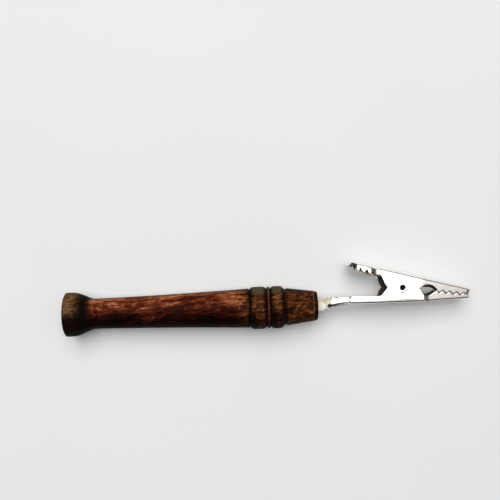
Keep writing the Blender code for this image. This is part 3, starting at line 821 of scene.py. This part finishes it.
def grain_relief(point):
    """How far the surface stands off its turned shape: raised grain, open pores and slow unevenness."""
    pore = ease(*PORE_LEVELS, wood_noise(point, PORE_GRAIN))
    ridge = RIDGE_HEIGHT * wood_noise(point, RIDGE_GRAIN)
    return ridge + WAVE_HEIGHT * wood_noise(point, WAVE_GRAIN) - PORE_DEPTH * pore - RELIEF_INSET


def make_handle(wood):
    outline = handle_outline()
    turn = [Vector((0, up, side)) for up, side in circle(HANDLE_SIDES)]
    rings = []
    for x, radius in outline:
        middle = Vector((x, 0, 0))
        fade = ease(*RELIEF_FADE, radius)
        reliefs = [grain_relief(middle + around * radius) for around in turn]
        rings.append([middle + around * (radius + relief * fade) for around, relief in zip(turn, reliefs)])
    bm = lofted(rings, closed_ends=False)
    first_ring, last_ring = bm.verts[:HANDLE_SIDES], bm.verts[-HANDLE_SIDES:]
    for ring, x in ((first_ring, 0), (last_ring, HANDLE_LENGTH - BORE_DEPTH)):
        centre = bm.verts.new((x, 0, 0))
        for first, second in zip(ring, ring[1:] + ring[:1]):
            bm.faces.new((centre, first, second))
    painted(bm, "end_grain", [share for share in end_grain_shares(outline) for _ in turn])
    add_piece("turned_handle", bm, wood, ROOT_BODY, "handle", smooth_angle=60)


# ---- stem and glue ----


def stem_section(x):
    """The stem's centre height and half height where it crosses x."""
    share = ease(*JOGGLE, x)
    return TANG_RISE * share, mix(STEM_RADIUS, TANG_HALF_HEIGHT, share)


def make_stem(steel):
    turn = circle(STEM_SIDES)
    rings = []
    for x in [STEM_START, *spread(*JOGGLE, JOGGLE_STEPS), STEM_END - STEM_EDGE_LENGTH, STEM_END]:
        y, half_height = stem_section(x)
        inset = STEM_EDGE if x in (STEM_START, STEM_END) else 0
        high, wide = half_height - inset, STEM_RADIUS - inset
        rings.append([(x, y + high * up, wide * side) for up, side in turn])
    add_piece("flattened_stem", lofted(rings), steel, ROOT_BODY, "stem")


def glue_hollow(x, y, z):
    """How deep a point lies in the hollow between the glue and the tail's underside, where painted shade and
    burnt flux lie, 0 to 1.
    """
    along = (x - GLUE_HOLLOW[0]) / GLUE_HOLLOW_REACH[0]
    above = (y - GLUE_HOLLOW[1]) / GLUE_HOLLOW_REACH[1]
    fine, coarse = RAGGED_GRAIN
    ragged = RAGGED * noise.noise((x / MM * fine, y / MM * fine + 3, z / MM * coarse))
    flux_and_shade = GLUE_HOLLOW_STRENGTH * math.exp(-(along**2 + above**2)) + ragged - GLUE_HOLLOW_LEAST
    return min(max(flux_and_shade, 0.0), 1.0) * ease(*GLUE_HOLLOW_FRONT, z)


def glue_point(x, rise, closing, up, side):
    """A point on the lumpy outside of the glue round the stem, and how much painted shade and flux it gets.
    """
    share = (x - HANDLE_LENGTH) / (TAIL_START - HANDLE_LENGTH)
    radius = mix(*GLUE_RADII, ease(0.0, 1.0, share))
    radius += GLUE_FILLET * math.exp(-((share / GLUE_FILLET_LENGTH) ** 2))
    for along, around, shift, height in GLUE_LUMPS:
        radius += height * noise.noise((x / MM * along, around * up, around * side + shift))
    lobe = math.exp(-(((x - GLUE_HOLLOW[0]) / GLUE_LOBE_LENGTH) ** 2)) * max(-up, 0) ** 3
    radius = radius * closing + GLUE_LOBE_HEIGHT * lobe * (1 - closing * GLUE_LOBE_TUCK)
    flux_and_shade = glue_hollow(x, rise + radius * up, radius * side)
    radius *= 1 - GLUE_SINK * flux_and_shade
    return Vector((x, rise + radius * up, radius * side)), flux_and_shade


def make_glue(glue):
    rings, flux_and_shades = [], []
    for share in spread(0, 1, GLUE_RINGS):
        x = mix(GLUE_START, GLUE_END, share)
        rise = mix(*GLUE_RISE, ease(GLUE_RISING, 1.0, share))
        closing = math.sqrt(max(1 - ease(GLUE_CLOSING, 1.0, share) ** 2, GLUE_LEAST))
        made = [glue_point(x, rise, closing, up, side) for up, side in circle(GLUE_SIDES)]
        rings.append([point for point, _ in made])
        flux_and_shades += [flux_and_shade for _, flux_and_shade in made]
    bm = lofted(rings)
    painted(bm, "flux_and_shade", flux_and_shades)
    add_piece("lumpy_glue", bm, glue, ROOT_BODY, "glue_collar", 60)


# ---- folded jaws ----


def flat_profile(depth, half_width, inset, shave):
    """(depth, side) across a channel at one distance inside its outer skin: down one wall, over the
    back and down the other wall, stopping shave short of both free edges."""
    width = half_width - inset
    bend = min(BEND_RADIUS, SHALLOW_BEND * depth, half_width)
    inner_bend = max(bend - inset, LEAST_BEND)
    half = [(mix(depth - shave, inset + inner_bend, i / WALL_STEPS), width) for i in range(WALL_STEPS)]
    for angle in spread(0, math.pi / 2, BEND_STEPS + 1):
        side = width - inner_bend * (1 - math.cos(angle))
        half.append((inset + inner_bend * (1 - math.sin(angle)), side))
    corner = half[-1][1]
    back = [(inset, mix(corner, -corner, i / BACK_STEPS)) for i in range(1, BACK_STEPS)]
    return half + back + [(deep, -side) for deep, side in half[::-1]]


def running_lengths(points):
    lengths = [0.0]
    for first, second in zip(points, points[1:]):
        lengths.append(lengths[-1] + math.dist(first, second))
    return lengths


def rolled_profile(flat, height, half_width, inset, shave):
    """The same points rolled into a rounded box that is open by a narrow seam opposite the back."""
    curve = []
    for angle in spread(0, math.pi, CRIMP_STEPS):
        high = abs(math.cos(angle)) ** (2 / CRIMP_SQUARENESS)
        side = abs(math.sin(angle)) ** (2 / CRIMP_SQUARENESS)
        deep = height / 2 - (height / 2 - inset) * math.copysign(high, math.cos(angle))
        curve.append(Vector((deep, (half_width - inset) * side)))
    lengths, flat_lengths = running_lengths(curve), running_lengths(flat)
    reach = lengths[-1] - CRIMP_SEAM / 2 - shave
    points = []
    for length in flat_lengths:
        share = mix(1, -1, length / flat_lengths[-1])
        along = reach * abs(share)
        i = max(k for k in range(CRIMP_STEPS - 1) if lengths[k] <= along)
        part = (along - lengths[i]) / (lengths[i + 1] - lengths[i])
        place = curve[i].lerp(curve[i + 1], part)
        points.append((place.x, math.copysign(place.y, share)))
    return points


def profile(section, inset, shave):
    back, edge = Vector(section.back), Vector(section.edge)
    depth = (edge - back).length
    down = (edge - back) / depth
    flat = flat_profile(depth, section.half_width, inset, shave)
    if section.rolled:
        rolled = rolled_profile(flat, depth, section.half_width, inset, shave)
        share = section.rolled
        flat = [(mix(a[0], b[0], share), mix(a[1], b[1], share)) for a, b in zip(flat, rolled)]
    points = []
    for deep, side in flat:
        share = (deep / depth) ** 2 if side < 0 else 0.0
        place = back + down * deep + Vector(section.uneven) * share
        points.append(Vector((*place, side)))
    return points


def rim_points(section, shrink, which):
    """Points over one rounded free edge, from the outer skin to the inner one."""
    insets = [shrink + BURR * (1 - math.cos(angle)) for angle in RIM_ANGLES]
    shaves = [shrink + BURR * (1 - math.sin(angle)) for angle in RIM_ANGLES]
    insets += [SHEET - inset for inset in insets[::-1]]
    return [profile(section, inset, shave)[which] for inset, shave in zip(insets, shaves + shaves[::-1])]


def section_ring(section, shrink=0.0):
    """The closed outline of the sheet at one section: (outer, first rim, inner, second rim)."""
    outer = profile(section, shrink, BURR + shrink)
    inner = profile(section, SHEET - shrink, BURR + shrink)
    return outer, rim_points(section, shrink, -1), inner[::-1], rim_points(section, shrink, 0)[::-1]


def end_rings(section, inward):
    """The rounded end of the sheet, from its face inwards: inward is 1 at the rear, -1 at the tip."""
    rings = []
    for angle in (*END_ANGLES, 0.0):
        shift = Vector((inward * BURR * (1 - math.sin(angle)), 0))
        moved = section._replace(back=Vector(section.back) + shift, edge=Vector(section.edge) + shift)
        rings.append(section_ring(moved, BURR * (1 - math.cos(angle))))
    return rings


def folded_sheet(sections, shade_span):
    """One closed body of sheet: both skins, rounded cut edges, and rounded ends. The inner skin gets painted
    shade, more and more so between the two places given, and the cut edges get some too."""
    middle = [section_ring(section) for section in sections[1:-1]]
    rings = end_rings(sections[0], 1) + middle + end_rings(sections[-1], -1)[::-1]
    bm = bmesh.new()
    layer = bm.verts.layers.float.new("inside")
    made = [[[bm.verts.new(point) for point in part] for part in ring] for ring in rings]
    # painted shade on the inner skin and the cut edges
    for _, right_rim, inner, left_rim in made:
        for vert in inner:
            vert[layer] = mix(SKIN_SHADE, 1.0, ease(*shade_span, vert.co.x))
        for vert in right_rim + left_rim:
            vert[layer] = RIM_SHADE
    skinned(bm, [[vert for part in ring for vert in part] for ring in made])
    for outer, right_rim, inner, left_rim in (made[0], made[-1]):
        inner = inner[::-1]
        for j in range(len(outer) - 1):
            bm.faces.new((outer[j], outer[j + 1], inner[j + 1], inner[j]))
        bm.faces.new((outer[-1], *right_rim, inner[-1]))
        bm.faces.new((outer[0], *left_rim[::-1], inner[0]))
    return bm


def drilled(jaw):
    """Cuts the rivet's hole through both walls."""
    bm = bmesh.new()
    radii = {"radius1": RIVET_HOLE_RADIUS, "radius2": RIVET_HOLE_RADIUS}
    size = {"segments": RIVET_HOLE_SIDES, "depth": 4 * EAR_HALF_WIDTH, **radii}
    bmesh.ops.create_cone(bm, cap_ends=True, matrix=Matrix.Translation((*PIVOT, 0)), **size)
    cutter = new_object("drill", new_mesh("drill", bm))
    cut = jaw.modifiers.new("rivet_hole", "BOOLEAN")
    cut.operation = "DIFFERENCE"
    cut.solver = "EXACT"
    cut.object = cutter
    bpy.context.view_layer.update()
    evaluated = jaw.evaluated_get(bpy.context.evaluated_depsgraph_get())
    jaw_mesh = bpy.data.meshes.new_from_object(evaluated)
    jaw.modifiers.clear()
    jaw.data = jaw_mesh
    bpy.data.objects.remove(cutter, do_unlink=True)


def from_pivot(points):
    return [PIVOT + Vector(point) for point in points]


def on_tooth_line(along, above):
    """A point given by its distance from the pivot along the tooth line and its height above it."""
    direction = Vector((math.cos(TOOTH_ANGLE), math.sin(TOOTH_ANGLE)))
    normal = Vector((-direction.y, direction.x))
    return PIVOT + direction * along + normal * above


def tooth_edge(shift):
    """The zigzag edge from the eye's front corner to the tip, moved up or down by shift."""
    points = []
    for i in range(2 * TOOTH_COUNT):
        above = TOOTH_HEIGHT / 2 * (1 if i % 2 == 0 else -1)
        along = max(TOOTH_START + i * TOOTH_PITCH / 2, EYE_END)
        points.append(on_tooth_line(along, above + shift))
    end = TOOTH_START + (2 * TOOTH_COUNT - 1 + TOOTH_RUN_OUT) * TOOTH_PITCH / 2
    points.append(on_tooth_line(end, shift))
    return refined(rounded(points, TOOTH_ROUND), TOOTH_STEP)


def eye_edge(eye):
    """One side of the eye behind the teeth, from its rear corner to just short of its front one."""
    points = []
    for share in spread(0, 1, EYE_STEPS)[:-1]:
        above = eye.base + eye.bulge * math.sin(math.pi * share**eye.skew) ** eye.power
        points.append(on_tooth_line(mix(EYE_START, EYE_END, share), above))
    return points


def ear_arc(radius, entry, leaving, side):
    """An arc round the pivot, met by tangents from entry and to leaving: side is 1 over the top of the
    pivot and -1 underneath it."""
    ends = []
    for point, turn in ((entry, -1), (leaving, 1)):
        away = Vector(point) - PIVOT
        ends.append(math.atan2(away.y, away.x) % math.tau + side * turn * math.acos(radius / away.length))
    start, end = ends
    if side < 0 and end < start:
        end += math.tau
    if side > 0 and end > start:
        end -= math.tau
    return [PIVOT + radius * Vector((math.cos(a), math.sin(a))) for a in spread(start, end, EAR_STEPS)]


def jaw_edge(rear, step, ear_radius, eye_side, side):
    """A jaw's free edge from its rear points, which end the notch, to the tip. Its ear passes over the
    pivot in the lower jaw, where side is 1, and underneath it in the upper jaw, where side is -1."""
    rear = refined(rounded(rear, NOTCH_ROUND), step)
    eye = eye_edge(eye_side)
    ear = ear_arc(ear_radius, rear[-1], eye[0], side)
    return rear + ear + refined([ear[-1], eye[0]], EAR_STEP)[1:-1] + eye + tooth_edge(-side * TOOTH_GAP / 2)


def uneven(stretches, x):
    """How far the free edge on the -Z side stands off its twin where the twin is at x."""
    along = x - PIVOT.x
    total = Vector((0, 0))
    for offset, setting_in, dying_away in stretches:
        total += Vector(offset) * ease(*setting_in, along) * (1 - ease(*dying_away, along))
    return total


def lower_back(x):
    share = max(x - TAPER_START, 0) / (TIP - TAPER_START)
    return LOWER_BACK + LOWER_BACK_RISE * share


def upper_back(x):
    return UPPER_BACK_TIP + UPPER_SLOPE * (TIP - x)


def jaw_half_width(x):
    """Half width of the tapered front of both jaws."""
    share = min(max((x - TAPER_START) / (TIP - TAPER_START), 0.0), 1.0)
    return mix(INNER_HALF_WIDTH, TIP_HALF_WIDTH, share) - LIP_TURN * ease(*LIP_PLACE, x)


def lower_half_width(x):
    widening = ease(UNROLLING[1], PIVOT.x + LOWER_NOTCH[0][0], x)
    tail = mix(TAIL_HALF_WIDTH, EAR_HALF_WIDTH, widening)
    return mix(tail, jaw_half_width(x), ease(TAPER_START, JOG_END, x))


def leaning_back(edge, height):
    """The back point of a section whose free edge is given: sections lean near the tip, like its end."""
    lean = ease(TIP - LEANING_LENGTH, TIP, edge.x) * TIP_SLANT
    x = edge.x
    for _ in range(LEANING_PASSES):
        x = edge.x - (edge.y - height(x)) * lean
    return Vector((x, height(x)))


def crimp_back(x):
    return LOWER_BACK - CRIMP_FLARE * (1 - ease(TAIL_START, UNROLLING[1], x))


def crimp_sections():
    """The tail's end, rolled over the stem, with its upper corner cut at an angle."""
    sections = []
    top = LOWER_BACK + CRIMP_HEIGHT
    for share in spread(1, 0, CUT_STEPS):
        x = mix(TAIL_START + CRIMP_CUT_LENGTH, TAIL_START, share)
        edge = (x + CRIMP_CUT * share, top)
        sections.append(Section((x, crimp_back(x)), edge, CRIMP_HALF_WIDTH, 1.0))
    for x in spread(CRIMP_STRAIGHT_START, UNROLLING[0], CRIMP_STRAIGHT_STEPS)[:-1]:
        sections.append(Section((x, crimp_back(x)), (x, top), CRIMP_HALF_WIDTH, 1.0))
    for x in spread(*UNROLLING, UNROLLING_STEPS):
        rolled = 1 - ease(*UNROLLING, x)
        edge = mix(TAIL_TOP, top, rolled)
        width = mix(TAIL_HALF_WIDTH, CRIMP_HALF_WIDTH, rolled)
        standing_off = Vector(TAIL_UNEVEN) * (1 - rolled)
        sections.append(Section((x, crimp_back(x)), (x, edge), width, rolled, standing_off))
    return sections


def paint_shade(bm, share_at):
    """Raises the painted shade at every vertex to the share that share_at gives for its place."""
    layer = bm.verts.layers.float["inside"]
    for vert in bm.verts:
        vert[layer] = max(vert[layer], share_at(*vert.co))


def crimp_bend_shade(x, y, z):
    """Painted shade along the lower bends of the crimp and in the lower corner of its end."""
    band = CRIMP_SHADE_BAND * (1 - CRIMP_SHADE_NARROWING * ease(TAIL_START, UNROLLING[0], x))
    band += CRIMP_SHADE_CORNER * (1 - ease(*CRIMP_SHADE_CORNER_PLACE, x))
    low = 1 - ease(band, band + CRIMP_SHADE_EDGE, y - crimp_back(x))
    return low * ease(*CRIMP_SHADE_SIDE, abs(z)) * (1 - ease(*CRIMP_SHADE_FADING, x))


def pad_depth(x):
    """How far the pad's sides are turned down: a lip at the end, a gap, then a scalloped flange."""
    along = (x - PAD_CORNER) / RIB_PITCH
    if along < SCALLOP_START:
        away = (x - PAD_GAP_PLACE) / PAD_GAP_REACH
        cut = (PAD_DEPTH - PAD_LEAST_DEPTH) * math.exp(-(away**PAD_GAP_SHARPNESS))
        lip = mix(PAD_LEAST_DEPTH, PAD_LIP_DEPTH, ease(PAD_END, PAD_END + PAD_LIP_RISE, x))
        base = mix(lip, PAD_DEPTH, ease(-PAD_LIP_BLEND, PAD_LIP_BLEND, along))
        return max(base - cut, PAD_LEAST_DEPTH)
    scallop = SCALLOP_DEPTH * math.cos(math.pi * along) ** SCALLOP_POWER
    return PAD_DEPTH - scallop * (1 - ease(*PAD_WAIST, x))


def pad_sections():
    """The ribbed thumb pad: its end curls down, its sides are turned down and its corners are round."""
    sections = []
    shares = spread(0, 1, PAD_END_STEPS + 1)[:-1]
    stations = [mix(PAD_END, PAD_CORNER, share**PAD_END_CROWDING) for share in shares]
    stations += spread(PAD_CORNER, PAD_CORNER + RIB_COUNT * RIB_PITCH, RIB_STEPS * RIB_COUNT + 1)
    for x in stations:
        round_share = min((x - PAD_END) / (PAD_CORNER - PAD_END), 1.0)
        corner = math.sqrt(1 - (1 - round_share) ** 2)
        lift = -PAD_DROP * (1 - min((x - PAD_END) / PAD_ROLL, 1.0)) ** 2
        rib = (1 - math.cos((x - PAD_CORNER) / RIB_PITCH * math.tau)) / 2
        lift -= RIB_HEIGHT * rib * round_share
        width = mix(INNER_HALF_WIDTH, PAD_HALF_WIDTH, corner)
        width = mix(width, INNER_HALF_WIDTH, ease(*PAD_WAIST, x))
        curl = (1 - round_share) ** 2 * PAD_CURL
        down = Vector((math.sin(curl), -math.cos(curl)))
        back = Vector((x, upper_back(x) + lift))
        edge = back + down * pad_depth(x)
        sections.append(Section(back, edge, width, uneven=uneven(UPPER_UNEVEN, x)))
    return sections


def pad_end_shade(x, _, z):
    """Painted shade on the sides of the pad's curled end and above the gap behind it."""
    near = ease(*PAD_SHADE_START, x) * (1 - ease(*PAD_SHADE_END, x))
    return PAD_SHADE * near * ease(*PAD_SHADE_SIDE, abs(z))


def front_sections(edge_points, height, half_width, stretches):
    """Sections whose free edges lie on the given points, on a back of the given height."""
    sections = []
    for edge in edge_points:
        back = leaning_back(edge, height)
        sections.append(Section(back, edge, half_width(back.x), uneven=uneven(stretches, edge.x)))
    return sections


def make_lower_jaw(steel):
    rear = [Vector((TAIL_STRAIGHT, TAIL_TOP)), *from_pivot(LOWER_NOTCH)]
    edge = jaw_edge(rear, LOWER_REAR_STEP, LOWER_EAR_RADIUS, LOWER_EYE, side=1)
    sections = crimp_sections() + front_sections(edge, lower_back, lower_half_width, LOWER_UNEVEN)
    bm = folded_sheet(sections, LOWER_INNER_SHADE_SPAN)
    # painted shade along the crimp's lower bends and its end's lower corner
    paint_shade(bm, crimp_bend_shade)
    drilled(add_piece("lower_jaw_channel", bm, steel, ROOT_BODY, "lower_jaw"))


def make_upper_jaw(steel):
    edge = jaw_edge(from_pivot(UPPER_NOTCH), UPPER_REAR_STEP, UPPER_EAR_RADIUS, UPPER_EYE, side=-1)
    sections = pad_sections() + front_sections(edge, upper_back, jaw_half_width, UPPER_UNEVEN)
    bm = folded_sheet(sections, UPPER_INNER_SHADE_SPAN)
    # painted shade on the pad's curled end
    paint_shade(bm, pad_end_shade)
    drilled(add_piece("upper_jaw_channel", bm, steel, JAW_BODY, "upper_jaw"))


# ---- rivet and spring ----


def make_rivet(steel):
    """An eyelet: a tube through all four ears with a low domed head rolled over on each side."""
    half = [(RIVET_BARREL_RADIUS, RIVET_SEAT - RIVET_BACK), (RIVET_BARREL_RADIUS, RIVET_SEAT)]
    for share in spread(0, 1, RIVET_DOME_STEPS):
        radius = mix(RIVET_HEAD_RADIUS, RIVET_BORE_RADIUS + RIVET_LIP, share)
        dome = RIVET_HEAD_HEIGHT * (1 - (1 - share) ** RIVET_DOME_POWER)
        half.append((radius, RIVET_SEAT + RIVET_EDGE + dome))
    top = half[-1][1]
    for angle in spread(math.pi / 2, math.pi, RIVET_LIP_STEPS)[1:]:
        radius = RIVET_BORE_RADIUS + RIVET_LIP * (1 + math.cos(angle))
        half.append((radius, top - RIVET_LIP * (1 - math.sin(angle))))
    half.append((RIVET_BORE_RADIUS, top - RIVET_MOUTH))
    outline = half + [(radius, -height) for radius, height in half[::-1]]
    rings = []
    for around in circle(RIVET_SIDES):
        rings.append([(*(PIVOT + Vector(around) * radius), height) for radius, height in outline])
    bm = lofted([*rings, rings[0]], closed_ends=False)
    bmesh.ops.remove_doubles(bm, verts=bm.verts, dist=RIVET_SEAM)
    # painted shade on the bore's inner wall
    painted(bm, "inside", [float(math.dist(vert.co.xy, PIVOT) < RIVET_SHADE_RADIUS) for vert in bm.verts])
    add_piece("eyelet_rivet", bm, steel, ROOT_BODY, "pivot_rivet")


def spring_path():
    """Leg on the tail, coil round the rivet, leg under the thumb pad."""
    turn = COIL_ANGLES[1] - COIL_ANGLES[0] + COIL_TURNS * math.tau
    coil = []
    for share in spread(0, 1, COIL_STEPS):
        angle = COIL_ANGLES[0] + turn * share
        place = PIVOT + COIL_RADIUS * Vector((math.cos(angle), math.sin(angle)))
        coil.append(Vector((*place, mix(-COIL_HALF_LENGTH, COIL_HALF_LENGTH, share))))
    tail_leg = [Vector((*point, -COIL_HALF_LENGTH)) for point in from_pivot(TAIL_LEG)]
    pad_leg = [Vector((*point, COIL_HALF_LENGTH)) for point in from_pivot(PAD_LEG)]
    tail_leg = refined(rounded([*tail_leg, coil[0]], WIRE_BEND), WIRE_LEG_STEPS[0])[:-1]
    pad_leg = refined(rounded([coil[-1], *pad_leg], WIRE_BEND), WIRE_LEG_STEPS[1])[1:]
    path = tail_leg + coil + pad_leg
    path.insert(1, path[0].lerp(path[1], WIRE_END_PLACE))
    path.insert(-1, path[-1].lerp(path[-2], WIRE_END_PLACE))
    return path


def wire_rings(path):
    """Rings of a tube along the path, without twist, with rounded-off ends."""
    rings = []
    side = Vector((0, 0, 1))
    for i, point in enumerate(path):
        ahead = (path[min(i + 1, len(path) - 1)] - path[max(i - 1, 0)]).normalized()
        side = (side - ahead * side.dot(ahead)).normalized()
        other = ahead.cross(side)
        radius = WIRE_RADIUS * (WIRE_END if i in (0, len(path) - 1) else 1)
        rings.append([point + radius * (side * c + other * s) for c, s in circle(WIRE_SIDES)])
    return rings


def make_spring(wire):
    bm = lofted(wire_rings(spring_path()))
    spring = add_piece("wire_spring", bm, wire, None, "torsion_spring")
    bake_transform(spring, ROOT_BODY, JAW_BODY, start=(*PIVOT, -1.7 * MM), end=(*PIVOT, 1.7 * MM))


# ---- stage ----

FLOOR_HALF_SIZE = 2.5
FLOOR_CENTRE = 0.07

# Area lights that point straight down: (name, place, size, power, colour)
PANELS = (
    ("overhead", (-0.11, 0.98, 2.0), (1.8, 2.28), 59.8, (1, 1, 1)),
    ("beyond_the_tip", (1.95, 0.35, 2.0), (2.2, 1.8), 7.0, (1, 0.95, 0.91)),
)
FILL_COLOUR = (0.96, 0.98, 1, 1)
FILL_STRENGTH = 0.07
CAMERA_PLACE = (0.0639, 0.0200, 0.238)
CAMERA_TURN = math.radians(-2.09)
CAMERA_LENS = 49.7


def make_floor(finish):
    bm = bmesh.new()
    bmesh.ops.create_grid(bm, x_segments=8, y_segments=8, size=FLOOR_HALF_SIZE)
    bmesh.ops.translate(bm, verts=bm.verts, vec=(FLOOR_CENTRE, 0, FLOOR))
    mesh = new_mesh("white_floor", bm)
    mesh.materials.append(finish)
    floor = new_object("white_floor", mesh)


def make_lights():
    """A wide window-like panel overhead, reaching out over the thumb pad's side, and faint fill."""
    for name, place, size, power, colour in PANELS:
        light = bpy.data.lights.new(name, "AREA")
        light.shape = "RECTANGLE"
        light.size, light.size_y = size
        light.energy = power
        light.color = colour
        panel = new_object(name, light)
        panel.location = place
        panel.visible_camera = False
    world = bpy.data.worlds.new("studio")
    bpy.context.scene.world = world
    world.use_nodes = True
    background = world.node_tree.nodes["Background"]
    background.inputs["Color"].default_value = FILL_COLOUR
    background.inputs["Strength"].default_value = FILL_STRENGTH


def make_camera():
    """Straight above the clip, looking down."""
    lens = bpy.data.cameras.new("camera")
    lens.lens = CAMERA_LENS
    lens.sensor_width = 36
    lens.clip_start = 0.01
    camera = new_object("camera", lens)
    camera.location = CAMERA_PLACE
    camera.rotation_euler = (0, 0, CAMERA_TURN)
    bpy.context.scene.camera = camera
    bpy.context.scene.view_settings.view_transform = "Standard"


# ---- build ----

make_camera()
make_lights()
make_floor(floor_material())

plate = plated_material("bright_plate", colour=(0.92, 0.89, 0.85), dark=(0.84, 0.79, 0.76))
eyelet_plate = plated_material("eyelet_plate", colour=(0.88, 0.86, 0.83), dark=(0.72, 0.69, 0.65))
make_handle(wood_material())
make_stem(stem_material())
make_glue(glue_material())
make_lower_jaw(plate)
make_upper_jaw(plate)
make_rivet(eyelet_plate)
make_spring(wire_material())
